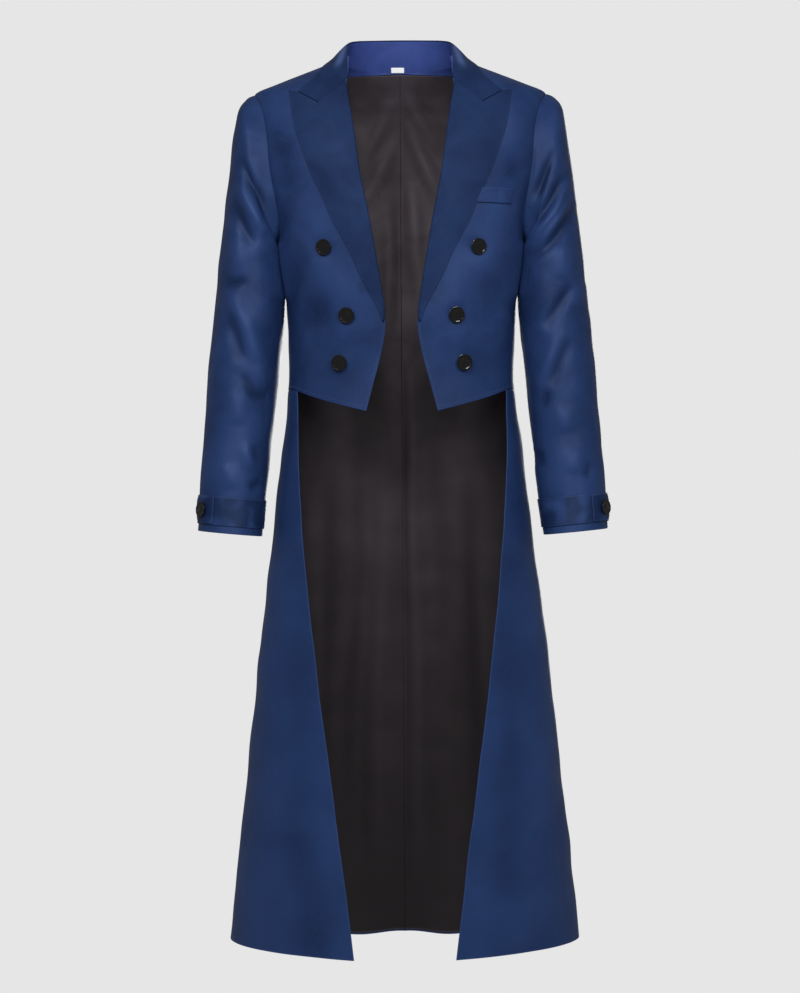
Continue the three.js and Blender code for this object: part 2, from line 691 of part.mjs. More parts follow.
// Place on a grid's outer face seen straight from the front at x and z
function onPanel(grid, x, z) {
  const ray = new THREE.Ray(new THREE.Vector3(x, -1000, z), new THREE.Vector3(0, 1, 0));
  const hit = new THREE.Vector3();
  for (let r = 0; r + 1 < grid.length; r += 1) {
    for (let c = 0; c + 1 < grid[r].length; c += 1) {
      const [a, b, d, e] = [grid[r][c], grid[r + 1][c], grid[r + 1][c + 1], grid[r][c + 1]];
      for (const face of [[a, b, d], [a, d, e]]) {
        const [p, q, s] = face.map((node) => node.point);
        if (ray.intersectTriangle(p, q, s, false, hit)) {
          const out = q.clone().sub(p).cross(s.clone().sub(p)).normalize();
          out.multiplyScalar(out.y > 0 ? -1 : 1);
          return { point: hit.clone(), out };
        }
      }
    }
  }
  throw new Error(`nothing of the panel lies at ${x}, ${z}`);
}

// Welt: a strip on the left front, made from the front's own points moved out
function weltGrid(front) {
  const grid = [];
  for (let r = 0; r <= WELT_ROWS; r += 1) {
    const share = r / WELT_ROWS;
    const mix = (key) => WELT.top[key] * (1 - share) + WELT.bottom[key] * share;
    const row = [];
    for (let c = 0; c <= WELT_COLUMNS; c += 1) {
      const x = mix('inner') + ((mix('outer') - mix('inner')) * c) / WELT_COLUMNS;
      row.push(onPanel(front, x, mix('z')));
    }
    grid.push(row);
  }
  return grid;
}

// Label: a flat tab just inside the foot of the collar stand
function labelGrid(front, back) {
  const { foot, top } = standGrid(front, back);
  const out = new THREE.Vector3(0, 1, 0);
  return [LABEL.top, LABEL.bottom].map((z) => {
    const share = (z - foot[0].z) / (top[0].z - foot[0].z);
    const y = foot[0].y + (top[0].y - foot[0].y) * share - COLLAR_THICKNESS - 2 * LAYER_GAP;
    return [-0.5, 0.5].map((side) => ({
      point: new THREE.Vector3(LABEL.centre + side * LABEL.width, y, z),
      out,
    }));
  });
}

const cloth = { color: '#2a3b66', roughness: 0.5 };
const collarCloth = { color: '#2f3f75', roughness: 0.5 };
const liningCloth = { color: '#2b272b', roughness: 0.65 };
const buttonResin = { color: '#141414', roughness: 0.15 };
const labelCloth = { color: '#f4f5f7', roughness: 0.8 };

const group = new THREE.Group();

function add(name, geometry, look) {
  const mesh = new THREE.Mesh(geometry, new THREE.MeshStandardMaterial({ ...look, metalness: 0 }));
  mesh.name = name;
  group.add(mesh);
}

function addPair(name, geometry, look) {
  add(`${name}_left`, geometry, look);
  add(`${name}_right`, mirrored(geometry), look);
}

const front = frontGrid();
const back = backGrid();
const tail = tailGrid();
const allSeams = { top: SEAM_HALF_GAP, bottom: SEAM_HALF_GAP, first: SEAM_HALF_GAP, last: SEAM_HALF_GAP };

addPair('front', wall(trimmed(front, allSeams), 0, -SHELL_THICKNESS), cloth);
addPair('back', wall(trimmed(back, allSeams), 0, -SHELL_THICKNESS), cloth);
addPair('tail', wall(trimmed(tail, { ...allSeams, top: 2 * SEAM_HALF_GAP }), 0, -SHELL_THICKNESS), cloth);

// Linings lie inside the shell, stopping short of its free edges
const liningHigh = -SHELL_THICKNESS - LAYER_GAP;
const liningLow = liningHigh - LINING_THICKNESS;
const backLining = trimmed(backLiningGrid(back), { ...allSeams, bottom: LINING_INSET });
const tailLining = trimmed(tail, { ...allSeams, bottom: LINING_INSET, last: LINING_INSET });
addPair('lining_back', wall(backLining, liningHigh, liningLow), liningCloth);
addPair('lining_tail', wall(tailLining, liningHigh, liningLow), liningCloth);

const lapelTop = (r, c) => lapelHeight(r, c) + SHELL_THICKNESS;
addPair('lapel', wall(lapelGrid(), lapelTop, lapelHeight), cloth);
add('collar_stand', collarStand(front, back), collarCloth);
add('collar_fall', collarFall(front, back), collarCloth);

const sleeveSeams = { top: 2 * SEAM_HALF_GAP, first: 2 * SEAM_HALF_GAP, last: 2 * SEAM_HALF_GAP };
const topSleeve = trimmed(sleeveGrid(TOP_SLEEVE_ANGLES), sleeveSeams);
const underSleeve = trimmed(sleeveGrid(UNDER_SLEEVE_ANGLES), sleeveSeams);
addPair('top_sleeve', wall(topSleeve, 0, -SHELL_THICKNESS), cloth);
addPair('under_sleeve', wall(underSleeve, 0, -SHELL_THICKNESS), cloth);

// Cuff band round the foot of the sleeve, a tab over it, and the tab's button
const lastRow = SLEEVE.length - 2;
const cuffRows = [lastRow + CUFF_TOP_SHARE, lastRow + CUFF_BOTTOM_SHARE];
const cuffAngles = [...TOP_SLEEVE_ANGLES.slice(0, -1), ...UNDER_SLEEVE_ANGLES.slice(0, -1)];
const cuffLow = LAYER_GAP;
const cuffHigh = cuffLow + SHELL_THICKNESS;
addPair('cuff', wall(sleeveGrid(cuffAngles, cuffRows), cuffHigh, cuffLow, { closed: true }), cloth);
const tabLow = cuffHigh + LAYER_GAP;
addPair('cuff_tab', wall(tabGrid(cuffRows), tabLow + SHELL_THICKNESS, tabLow), cloth);
addPair('cuff_button', cuffButton(cuffRows, tabLow + SHELL_THICKNESS), buttonResin);

for (const { name, x, z } of BUTTONS) {
  const { point, out } = onPanel(front, x, z);
  const seat = point.clone().addScaledVector(out, 2 * SEAM_HALF_GAP);
  addPair(`button_${name}`, button(seat, out, BUTTON_RADIUS), buttonResin);
}

add('breast_welt', wall(weltGrid(front), WELT_HEIGHT + SHELL_THICKNESS, WELT_HEIGHT), cloth);
add('neck_label', wall(labelGrid(front, back), 0, -LABEL.thickness), labelCloth);

group.updateMatrixWorld(true);
export default group;
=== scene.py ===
"""A long-tailed coat in dark blue satin-faced twill, filled out as it is worn.

Lengths are in millimetres until a mesh is made. +Z is up, the front is toward -Y and the wearer's left
is on +X. Every sheet of cloth is a thin shell on the coat's form, with its creases placed one by one.
"""
import math

import bpy
import numpy as np
from mathutils import Matrix, Vector, noise


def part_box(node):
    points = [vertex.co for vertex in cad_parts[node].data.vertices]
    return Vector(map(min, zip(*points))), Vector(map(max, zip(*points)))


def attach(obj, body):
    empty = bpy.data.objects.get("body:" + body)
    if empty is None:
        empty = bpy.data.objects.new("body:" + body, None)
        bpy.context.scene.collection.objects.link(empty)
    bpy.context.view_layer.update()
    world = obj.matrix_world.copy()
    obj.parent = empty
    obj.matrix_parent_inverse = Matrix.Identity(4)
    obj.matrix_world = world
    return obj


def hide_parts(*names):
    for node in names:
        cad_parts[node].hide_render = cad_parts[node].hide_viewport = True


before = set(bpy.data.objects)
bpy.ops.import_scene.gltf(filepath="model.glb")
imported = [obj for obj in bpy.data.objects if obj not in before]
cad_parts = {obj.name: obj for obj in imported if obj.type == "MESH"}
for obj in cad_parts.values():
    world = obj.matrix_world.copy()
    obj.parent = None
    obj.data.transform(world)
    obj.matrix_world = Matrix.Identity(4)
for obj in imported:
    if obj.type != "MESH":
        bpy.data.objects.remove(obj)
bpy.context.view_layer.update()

MM = 0.001


def columns(names, *rows):
    """A short table as named columns."""
    return dict(zip(names.split(), np.array(rows, float).T))


# ---------------------------------------------------------------- the coat's sizes

# Thicknesses of the cloths, and how far the lining's face lies inside the coat's
CLOTH = 1.5
LINING = 0.8
COLLAR_CLOTH = 2.0
LINING_DEPTH = 2.2
# Distances from an edge at which a sheet has its first lines, close together where the cloth turns over
EDGE_PLACES = (0, 0.22, 0.75, 1.8, 3.2, 4.6, 6.5)

# Half width, depths and squareness of the form at each level
FORM = columns(
    "z width front back squareness",
    (17, 84, 56, 61, 2.3),
    (-4, 138.5, 66, 73, 2.3),
    (-22, 185, 75, 84, 2.3),
    (-37, 218, 82, 91, 2.3),
    (-52, 222, 88, 98, 2.3),
    (-80, 225, 97, 105, 2.3),
    (-120, 222, 108, 111, 2.3),
    (-165, 213.5, 115, 114, 2.3),
    (-210, 198, 119, 113, 2.3),
    (-242, 187, 120, 111, 2.3),
    (-262, 184, 120, 109, 2.3),
    (-300, 179, 119, 104, 2.3),
    (-346, 172.3, 116, 96, 2.3),
    (-405, 169, 111, 90, 2.3),
    (-464, 168, 108, 88, 2.25),
    (-500, 171, 109, 90, 2.2),
    (-585, 182, 115, 94, 2.1),
    (-735, 199, 128, 100, 1.95),
    (-1005, 229.5, 151, 108, 1.8),
    (-1310, 263, 176, 116, 1.7),
)

NECK, SHOULDER, WAIST, HEM = 17, -37, -479, -1300
ARMHOLE_TOP, ARMHOLE_BOTTOM, ARMHOLE_HALF, ARMHOLE_SQUARENESS = -37, -262, 60, 2.4
ARMHOLE_MIDDLE = (ARMHOLE_TOP + ARMHOLE_BOTTOM) / 2
# Level of the neck at the centre back, and how far the back's hem, the tail's hem and its top slope down
BACK_NECK, BACK_HEM_DROP, TAIL_HEM_DROP, TAIL_TOP_SLOPE = 5, 9, 4, 3
# Beside the centre seam the back's hem dips, over this share of its half width
HEM_DIP, HEM_DIP_WIDTH = 6.3, 0.42
# Width of half the body and of a tail, for spreading a row's places, and the step between them
BODY_HALF, TAIL_HALF, BODY_STEP = 230, 200, 5.5
# Steps between rows of the body and sleeves, and between lines of small pieces
ROW_STEP, SMALL_STEP = 5, 4
# The front's hem drops to a point: how far, the level from which rows bend to it, the share of the hem that
# stays level, and its curve
POINT_DROP, POINT_START, HEM_LEVEL_SHARE, HEM_CURVE = 35, -346, 0.26, 1.12

# Place of each free edge in X, by level
FRONT_EDGE = columns(
    "z x",
    (17, 79), (-9, 77.5), (-45, 75.5), (-75, 71), (-105, 66.6), (-165, 58.3), (-224, 46.5), (-283, 36.4),
    (-342, 26.9), (-371, 23.3), (-388, 23.3), (-416, 27), (-444, 33.5), (-473, 41.5), (-514, 52.4),
)
TAIL_EDGE = columns(
    "z x",
    (-479, 155), (-560, 154), (-615, 153), (-675, 149), (-735, 145), (-795, 139), (-855, 132), (-915, 125),
    (-975, 117), (-1035, 108.5), (-1095, 101), (-1155, 92.5), (-1215, 85), (-1304, 74),
)
LAPEL_EDGE = columns(
    "z x",
    (-39, 163), (-65, 159.5), (-97, 154), (-122, 146), (-147, 137.5), (-173, 127), (-202, 113),
    (-229, 102), (-256, 88), (-283, 74), (-314, 60.5), (-342, 45.5), (-366, 33), (-384, 26.5),
)
# Top of the lapel: fold, down the gorge to the notch, up to the peak
LAPEL_TOP = columns(
    "share x z",
    (0, 79.5, -24), (0.25, 96, -40), (0.5, 119, -60), (0.75, 147, -43.5), (1, 163, -39),
)
# The lapel's rows run level from here down to its foot
LAPEL_LEVEL, LAPEL_FOOT = -80, -384
# Its width, the height of its top, a step and shares of the way down the top, for spacing its lines
LAPEL_WIDTH, LAPEL_TOP_HEIGHT, LAPEL_STEP = 100, 50, 4.5
LAPEL_TOP_SHARES = np.linspace(0.2, 1, 12)[:-1]
# The lapel rolls over the front's edge, which is tucked inside the roll
LAPEL_ROLL, ROLL_TUCK, ROLL_EASE = 2.2, 2.4, 22
LAPEL_FOLD_HEIGHT, LAPEL_EDGE_HEIGHT, LAPEL_ROLL_HEIGHT = 0.9, 2.2, 3.4
LAPEL_TURN = np.radians([-90, -88, -80, -65, -45, -20, 5, 30, 55, 80])
LAPEL_BEHIND = (7, 6.8, 6.2, 5, 3.4, 1.7)

# The neck seam is read at this many places round to its side, then here down the front
NECK_PLACES, NECK_END = 8, -4
# Height of the collar's roll line at each depth of the neck seam
ROLL_LINE = columns("y z", (-58, 0), (-39, 13), (-19, 24), (0, 34), (15, 41), (45, 51.5), (66, 55))
ROLL_HALF_WIDTH, STAND_LEAN, STAND_LEAN_FULL_AT, STAND_END = 79.5, 10, 40, 3
# Where the back's lining starts, and how the collar's facing lies above it, inside the back
LINING_TOP = {"centre": 4.6, "side": -3.0, "neck_share": 0.63, "ease": 60}
FACING = {"in": 0.6, "above": 0.5, "depth": 1.9}
# Shares of the way from the facing's lower edge up to the stand's foot at which it has rows
FACING_SHARES = (0, 0.01, 0.03, 0.08, 0.2, 0.4, 0.6, 0.8, 0.93)
STAND_HEIGHT, STAND_RAISED, STAND_BOW = 45, 0.3, 0.5
# The stand's front ends: how far down their foot and their facing go
STAND_END_DROP, STAND_END_FACING = 6, 1
# They lean out under the fall, so that none of their edge shows
STAND_ENDS_OUT = (0.6, 1.7)
STAND_HALF_PLACES, FALL_HALF_PLACES = 90, 80
FALL_LIES = 2.0
# The collar turns over in a roll of this radius, its centre below and inside the roll line
COLLAR_ROLL, COLLAR_ROLL_DEPTH, COLLAR_ROLL_DROP, COLLAR_FOOT = 2.1, 1.0, 2.5, -22
# Shares of the roll's turn at which the fall has rows
ROLL_SHARES = (0, 0.03, 0.1, 0.22, 0.36, 0.5, 0.64, 0.78, 0.9, 1)
# The fall's length from roll to edge, and how far its front end rolls out and stands off the lapel
FALL_LENGTH, FALL_END_ROLL, FALL_END_LIFT = 60, 10, 0.9
# Outer edge of the collar's fall for each place along the neck, and how the cloth rolls out over it
FALL_EDGE = columns(
    "angle z roll sag",
    (90, -12, 7, 0),
    (80, -12, 7, 0),
    (70, -11.5, 6, 0),
    (58, -10, 5, 1),
    (45, -6.5, 4.5, 1.5),
    (31, -1.5, 5, 1.5),
    (16, 4.5, 5.5, 1.5),
    (-6, 8, 5.5, 2),
    (-33, -2, 4.5, 3),
    (-46, -15, 5, 4),
)
# The fall's front end: down the gorge to the notch, then up to the collar's point
FALL_END = columns(
    "share x z",
    (0, 79.5, -23), (0.16, 96, -39.2), (0.42, 108, -50.1), (0.7, 119.5, -59.1), (1, 150, -41),
)

# Sleeve rings, each from its outermost point to its innermost one
SLEEVE = columns(
    "row outX outZ inX inZ depth y",
    (0, 218, -37, 184, -262, 60, 0),
    (1, 228, -39.5, 186.8, -264.5, 62.5, 0),
    (2, 237, -46.5, 187.5, -268, 65, 0),
    (3, 243, -61, 187, -273.5, 66.5, 0),
    (4, 249, -94, 183.2, -281, 67.5, 0),
    (5, 255, -138, 181.8, -291, 67.5, 0),
    (6, 263, -202, 179.6, -306, 67, 0),
    (7, 270.5, -265, 176.8, -325, 66.5, -1),
    (8, 278, -342, 174.2, -350, 65.5, -2),
    (9, 284.5, -402, 179.5, -409, 63.5, -4),
    (10, 290, -461, 185.5, -468, 61, -8),
    (11, 295, -527, 192, -535, 57.5, -15),
    (12, 300, -604, 199.5, -613, 53.5, -25),
    (13, 304, -688, 208, -697, 50, -36),
)
SLEEVE_ROWS = 13
# A sleeve's rings go from the armhole's squareness to the cuff's over some rows, and its head follows the
# armhole's curve for some
HEAD_SQUARENESS, SLEEVE_SQUARENESS, SQUARE_ROWS, CURVED_ROWS = 2.4, 2.1, 8, 4
# Its columns are spaced by angle, and its rows by length down the line at one angle, read at many places
SLEEVE_STEP, SLEEVE_LINE, SLEEVE_SAMPLES = 4.5, 60, 400
# A row across the body is read at this many places, and the form's slopes over this step
ROW_SAMPLES, RATE_STEP = 160, 2
CUFF_TOP, CUFF_FOOT = 12.37, 12.87


# ---------------------------------------------------------------- the form

def unit(vectors):
    """Directions one unit long."""
    return vectors / np.linalg.norm(vectors, axis=-1, keepdims=True)


def run_along(line):
    """The length of a line of points, up to each of them."""
    return np.concatenate([[0], np.cumsum(np.linalg.norm(np.diff(line, axis=0), axis=1))])


def eased(low, high, low_slope, high_slope, step, t):
    """The value a share t of the way along a step, between two values with their slopes."""
    rise = t * t * (3 - 2 * t)
    return (
        low * (1 - rise)
        + high * rise
        + low_slope * step * t * (1 - t) ** 2
        - high_slope * step * t * t * (1 - t)
    )


def at(table, column, level, by="z"):
    """A column's value at a level, on a smooth line that keeps the table's own rises and falls."""
    places, values = table[by], table[column]
    if places[0] > places[-1]:
        places, values = places[::-1], values[::-1]
    slopes = np.diff(values) / np.diff(places)
    before, after = slopes[:-1], slopes[1:]
    total = np.where(before * after > 0, before + after, 1)
    middle = np.where(before * after > 0, 2 * before * after / total, 0)
    tangents = np.concatenate([slopes[:1], middle, slopes[-1:]])
    level = np.asarray(level, float)
    i = np.clip(np.searchsorted(places, level) - 1, 0, len(slopes) - 1)
    step = places[i + 1] - places[i]
    t = (level - places[i]) / step
    inside = eased(values[i], values[i + 1], tangents[i], tangents[i + 1], step, t)
    low = values[i] + slopes[i] * (level - places[i])
    high = values[i + 1] + slopes[i] * (level - places[i + 1])
    return np.where(t < 0, low, np.where(t > 1, high, inside))


def depth_at(z, angle):
    """Depth of the form's front half or back half."""
    return np.where(np.asarray(angle) < 0, at(FORM, "front", z), at(FORM, "back", z))


def form_point(z, angle):
    """Point of the form: angle 0 is the wearer's left side, -pi/2 the front and pi/2 the back."""
    z, angle = np.broadcast_arrays(np.asarray(z, float), np.asarray(angle, float))
    power = 2 / at(FORM, "squareness", z)
    x = at(FORM, "width", z) * np.abs(np.cos(angle)) ** power
    y = depth_at(z, angle) * np.sign(angle) * np.abs(np.sin(angle)) ** power
    return np.stack([x, y, z], -1)


def angle_at_x(z, x):
    """Angle of the form's front at which it is x from the middle."""
    share = np.minimum(1, np.abs(x) / at(FORM, "width", z))
    return -np.arccos(share ** (at(FORM, "squareness", z) / 2))


def angle_at_y(z, y):
    """Angle of the form at which it is y behind its widest line."""
    share = np.minimum(1, np.abs(y) / depth_at(z, y))
    return np.sign(y) * np.arcsin(share ** (at(FORM, "squareness", z) / 2))


def form_normal(z, angle):
    """Outward direction of the form."""
    point = form_point(z, angle)
    z, angle = point[..., 2], np.broadcast_to(angle, point.shape[:-1])
    width, depth, power = at(FORM, "width", z), depth_at(z, angle), at(FORM, "squareness", z)
    step = RATE_STEP
    width_rate = (at(FORM, "width", z + step) - at(FORM, "width", z - step)) / (2 * step)
    depth_rate = (depth_at(z + step, angle) - depth_at(z - step, angle)) / (2 * step)
    across, deep = np.abs(point[..., 0]) / width, np.abs(point[..., 1]) / depth
    return unit(np.stack([
        across ** (power - 1) / width,
        np.sign(point[..., 1]) * deep ** (power - 1) / depth,
        -(across ** power) * width_rate / width - deep ** power * depth_rate / depth,
    ], -1))


def armhole_level(angle):
    """Level of the armhole's edge, for an angle from its top."""
    turn = np.cos(angle)
    share = np.sign(turn) * np.abs(turn) ** (2 / ARMHOLE_SQUARENESS)
    return ARMHOLE_MIDDLE + (ARMHOLE_TOP - ARMHOLE_MIDDLE) * share


def armhole_reach(z):
    """Half the opening of the armhole at a level."""
    share = np.minimum(1, np.abs(z - ARMHOLE_MIDDLE) / (ARMHOLE_TOP - ARMHOLE_MIDDLE))
    return ARMHOLE_HALF * (1 - share ** ARMHOLE_SQUARENESS) ** (1 / ARMHOLE_SQUARENESS)


def spread(length, step, ends=EDGE_PLACES):
    """Places along a length: close together near both ends, where the cloth turns over or meets a seam."""
    ends = np.array(ends)
    count = max(3, round((length - 2 * ends[-1]) / step) + 1)
    return np.concatenate([ends[:-1], np.linspace(ends[-1], length - ends[-1], count), length - ends[-2::-1]])


def shares_of(length, step):
    """The same places as shares of the length."""
    return spread(length, step) / length


def row_on_form(start, end, edge, shares):
    """Places on the form along one row. start and end are (level, angle), and the row stops at the angle
    edge. shares run from 0 at the start to 1 at the edge, by length on the cloth. start may end with a
    function that bends the row: it adds a height to each share of the way."""
    samples = np.linspace(0, 1, ROW_SAMPLES)
    z = start[0] + (end[0] - start[0]) * samples
    if len(start) > 2:
        z = z + start[2](samples)
    angle = start[1] + (end[1] - start[1]) * samples
    points = form_point(z, angle)
    lengths = run_along(points)
    reached = np.interp((edge - start[1]) / (end[1] - start[1]), samples, lengths)
    wanted = np.interp(shares * reached, lengths, samples)
    return form_point(np.interp(wanted, samples, z), np.interp(wanted, samples, angle))


# ---------------------------------------------------------------- grids of the panels

ARM_STEP = 4.5
ARM_LEVELS = armhole_level(np.radians(np.arange(0, 180 + ARM_STEP, ARM_STEP)))
# Levels of the body's rows: close together at the neck and beside the armhole
FINE_BODY = np.concatenate([
    NECK - spread(NECK - SHOULDER, ROW_STEP)[:-1],
    ARM_LEVELS[:-1],
    ARMHOLE_BOTTOM - spread(ARMHOLE_BOTTOM - WAIST, ROW_STEP, ends=(0, ROW_STEP))[:-1],
])


def front_grid():
    """Rows from the lapel's fold and the front edge to the shoulder, armhole and side seams."""
    levels = np.concatenate([FINE_BODY[:-1], WAIST + np.array(EDGE_PLACES[::-1])])
    shares = shares_of(BODY_HALF, BODY_STEP)
    grid = []
    for side in np.sort(np.unique(levels))[::-1]:
        drop = max(0.0, (POINT_START - side) / (POINT_START - WAIST))
        inner = side - POINT_DROP * drop

        def slide(u, drop=drop):
            """Bends a row on its way down to the front's point."""
            fall = np.maximum(0, (1 - u - HEM_LEVEL_SHARE) / (1 - HEM_LEVEL_SHARE))
            return POINT_DROP * drop * (1 - u - fall ** HEM_CURVE)

        # Above the foot of the lapel, the front's own edge lies inside the lapel's roll
        tucked = ROLL_TUCK * min(1.0, max(0.0, (inner - LAPEL_FOOT) / ROLL_EASE))
        start = (inner, angle_at_x(inner, at(FRONT_EDGE, "x", inner) + tucked), slide)
        edge = angle_at_y(side, -armhole_reach(side)) if side < SHOULDER else 0.0
        grid.append(row_on_form(start, (side, 0.0), edge, shares))
    return np.array(grid)


def hem_sag(share):
    """The back's hem hangs lowest a little to each side of its centre seam, which holds it up."""
    return np.sin(math.pi * np.minimum(share / HEM_DIP_WIDTH, 1)) ** 3


def back_grid(levels, step, raised=None):
    """Rows from the centre seam to the shoulder, armhole and side seams. raised lifts a row's centre."""
    shares = shares_of(BODY_HALF, step)
    grid = []
    for side in levels:
        neck = max(0.0, (side - SHOULDER) / (NECK - SHOULDER))
        hem = max(0.0, (WAIST - side) / (WAIST - HEM))
        centre = side - (NECK - BACK_NECK) * neck - BACK_HEM_DROP * hem
        if raised:
            centre += raised(side)
        edge = angle_at_y(side, armhole_reach(side)) if side < SHOULDER else 0.0
        start = (centre, math.pi / 2, lambda share, hem=hem: -HEM_DIP * hem**2 * hem_sag(share))
        grid.append(row_on_form(start, (side, 0.0), edge, shares))
    return np.array(grid)


def tail_grid(down, step, inset=0):
    """Rows from the side seam to the tail's front edge. A lining ends short of the hem and that edge."""
    shares = shares_of(TAIL_HALF, step)
    grid = []
    for side in WAIST - spread(WAIST - HEM - inset, down):
        edge = side - TAIL_HEM_DROP * (WAIST - side) / (WAIST - HEM) - TAIL_TOP_SLOPE
        end = (edge, angle_at_x(edge, at(TAIL_EDGE, "x", edge) + inset))
        grid.append(row_on_form((side, 0.0), end, end[1], shares))
    return np.array(grid)


def lapel_grid(side):
    """Rows run down the lapel, columns from behind the front, round its edge, to the lapel's free edge."""
    # The notch has a column of its own
    shares = np.unique(np.concatenate([shares_of(LAPEL_WIDTH, SMALL_STEP), LAPEL_TOP["share"][2:3]]))

    def level_row(z):
        """Places from the fold to the free edge at one level, as x and z."""
        fold, edge = at(FRONT_EDGE, "x", z), at(LAPEL_EDGE, "x", z)
        return np.stack([fold + (edge - fold) * shares, np.full_like(shares, z)], -1)

    top = np.stack([np.interp(shares, LAPEL_TOP["share"], LAPEL_TOP[k]) for k in ("x", "z")], -1)
    base = level_row(LAPEL_LEVEL)
    rows = []
    for t in np.concatenate([np.array(EDGE_PLACES) / LAPEL_TOP_HEIGHT, LAPEL_TOP_SHARES]):
        rows.append(top * (1 - t) + base * t)
    for z in LAPEL_LEVEL - spread(LAPEL_LEVEL - LAPEL_FOOT, LAPEL_STEP, ends=(0, SMALL_STEP)):
        rows.append(level_row(z))
    flat = np.array(rows)
    # The roll stands inside the front's edge by its own outer radius
    flat[..., 0] += (LAPEL_ROLL + CLOTH / 2) * (1 - shares)
    x, z = flat[..., 0], flat[..., 1]
    angle = angle_at_x(z, x)
    on_form, out = form_point(z, angle), form_normal(z, angle)
    on_form = on_form + out * body_relief(on_form, side)[..., None]
    down = np.clip((LAPEL_TOP["z"][0] - z[:, :1]) / (LAPEL_TOP["z"][0] - LAPEL_FOOT), 0, 1)
    lie = LAPEL_FOLD_HEIGHT + (LAPEL_EDGE_HEIGHT - LAPEL_FOLD_HEIGHT) * shares
    lie = lie + (LAPEL_ROLL_HEIGHT - LAPEL_EDGE_HEIGHT) * (1 - down) * np.sin(math.pi * shares)
    over = on_form + out * (lie + CLOTH / 2)[..., None]
    across = unit(on_form[:, 3] - on_form[:, 0])
    centre = over[:, 0] - out[:, 0] * LAPEL_ROLL
    roll = [centre + LAPEL_ROLL * (out[:, 0] * math.sin(a) - across * math.cos(a)) for a in LAPEL_TURN]
    behind = [roll[0] + across * reach for reach in LAPEL_BEHIND]
    return np.concatenate([np.array(behind + roll).transpose(1, 0, 2), over], axis=1)


def spline(values, places, wanted):
    """A smooth line through values (one row for each place), read at the wanted places."""
    values, places = np.asarray(values, float), np.asarray(places, float)
    slopes = np.diff(values, axis=0) / np.diff(places).reshape(-1, *[1] * (values.ndim - 1))
    tangents = np.concatenate([slopes[:1], (slopes[1:] + slopes[:-1]) / 2, slopes[-1:]])
    i = np.clip(np.searchsorted(places, wanted) - 1, 0, len(places) - 2)
    step = (places[i + 1] - places[i]).reshape(-1, *[1] * (values.ndim - 1))
    t = ((wanted - places[i]) / (places[i + 1] - places[i])).reshape(step.shape)
    return eased(values[i], values[i + 1], tangents[i], tangents[i + 1], step, t)


def away_from_neck(points):
    """Level directions away from the neck's middle."""
    return unit(points * (1, 1, 0))


def neck_stations():
    """Places along the neck seam, from the centre back round the wearer's left to the fronts."""
    seam = row_on_form((BACK_NECK, math.pi / 2), (NECK, 0.0), 0.0, np.linspace(0, 1, NECK_PLACES))
    ends = [form_point(z, angle_at_x(z, at(FRONT_EDGE, "x", z))) for z in (NECK, NECK_END)]
    return np.concatenate([seam, ends])


def roll_line(foot):
    """The collar's roll line above each place of the neck seam."""
    height = np.maximum(at(ROLL_LINE, "z", foot[:, 1], by="y") - foot[:, 2], STAND_END)
    lean = STAND_LEAN * np.clip(foot[:, 1] / STAND_LEAN_FULL_AT, 0, 1)
    top = foot - away_from_neck(foot) * lean[:, None]
    top[:, 0] = np.minimum(top[:, 0], ROLL_HALF_WIDTH)
    top[:, 2] = foot[:, 2] + height
    return top


def both_sides(half):
    """A grid whose columns run from the centre back to the left, made whole with its mirror image."""
    return np.concatenate([(half * (-1, 1, 1))[:, :0:-1], half], axis=1)


def collar_roll():
    """The roll at each place along the neck: its centre, outward side and crest, and the fall's far end."""
    stations = neck_stations()
    top = roll_line(stations)
    fold = at(FRONT_EDGE, "x", COLLAR_FOOT)
    close = angle_at_x(COLLAR_FOOT, fold)
    top = np.concatenate([top, form_point(COLLAR_FOOT, close)[None]])
    away = away_from_neck(top)
    angle = np.radians(FALL_EDGE["angle"])
    lie = FALL_LIES + COLLAR_CLOTH / 2
    angle = np.append(angle, angle_at_x(FALL_END["z"][-1], FALL_END["x"][-1]))
    level = np.append(FALL_EDGE["z"], FALL_END["z"][-1])
    end = form_point(level, angle) + form_normal(level, angle) * lie
    line = np.concatenate([(top[1] * (-1, 1, 1))[None], top, top[-1:] * 2 - top[-2:-1]])
    along = unit(line[2:] - line[:-2])
    crest = top - end
    crest = crest - away * np.sum(crest * away, -1, keepdims=True) * np.linspace(1, 0, len(top))[:, None]
    crest = unit(crest - along * np.sum(crest * along, -1, keepdims=True))
    out = np.cross(along, crest)
    out = out * np.sign(np.sum(out * away, -1, keepdims=True))
    centre = top - out * COLLAR_ROLL_DEPTH - crest * COLLAR_ROLL_DROP
    return centre, out, crest, end


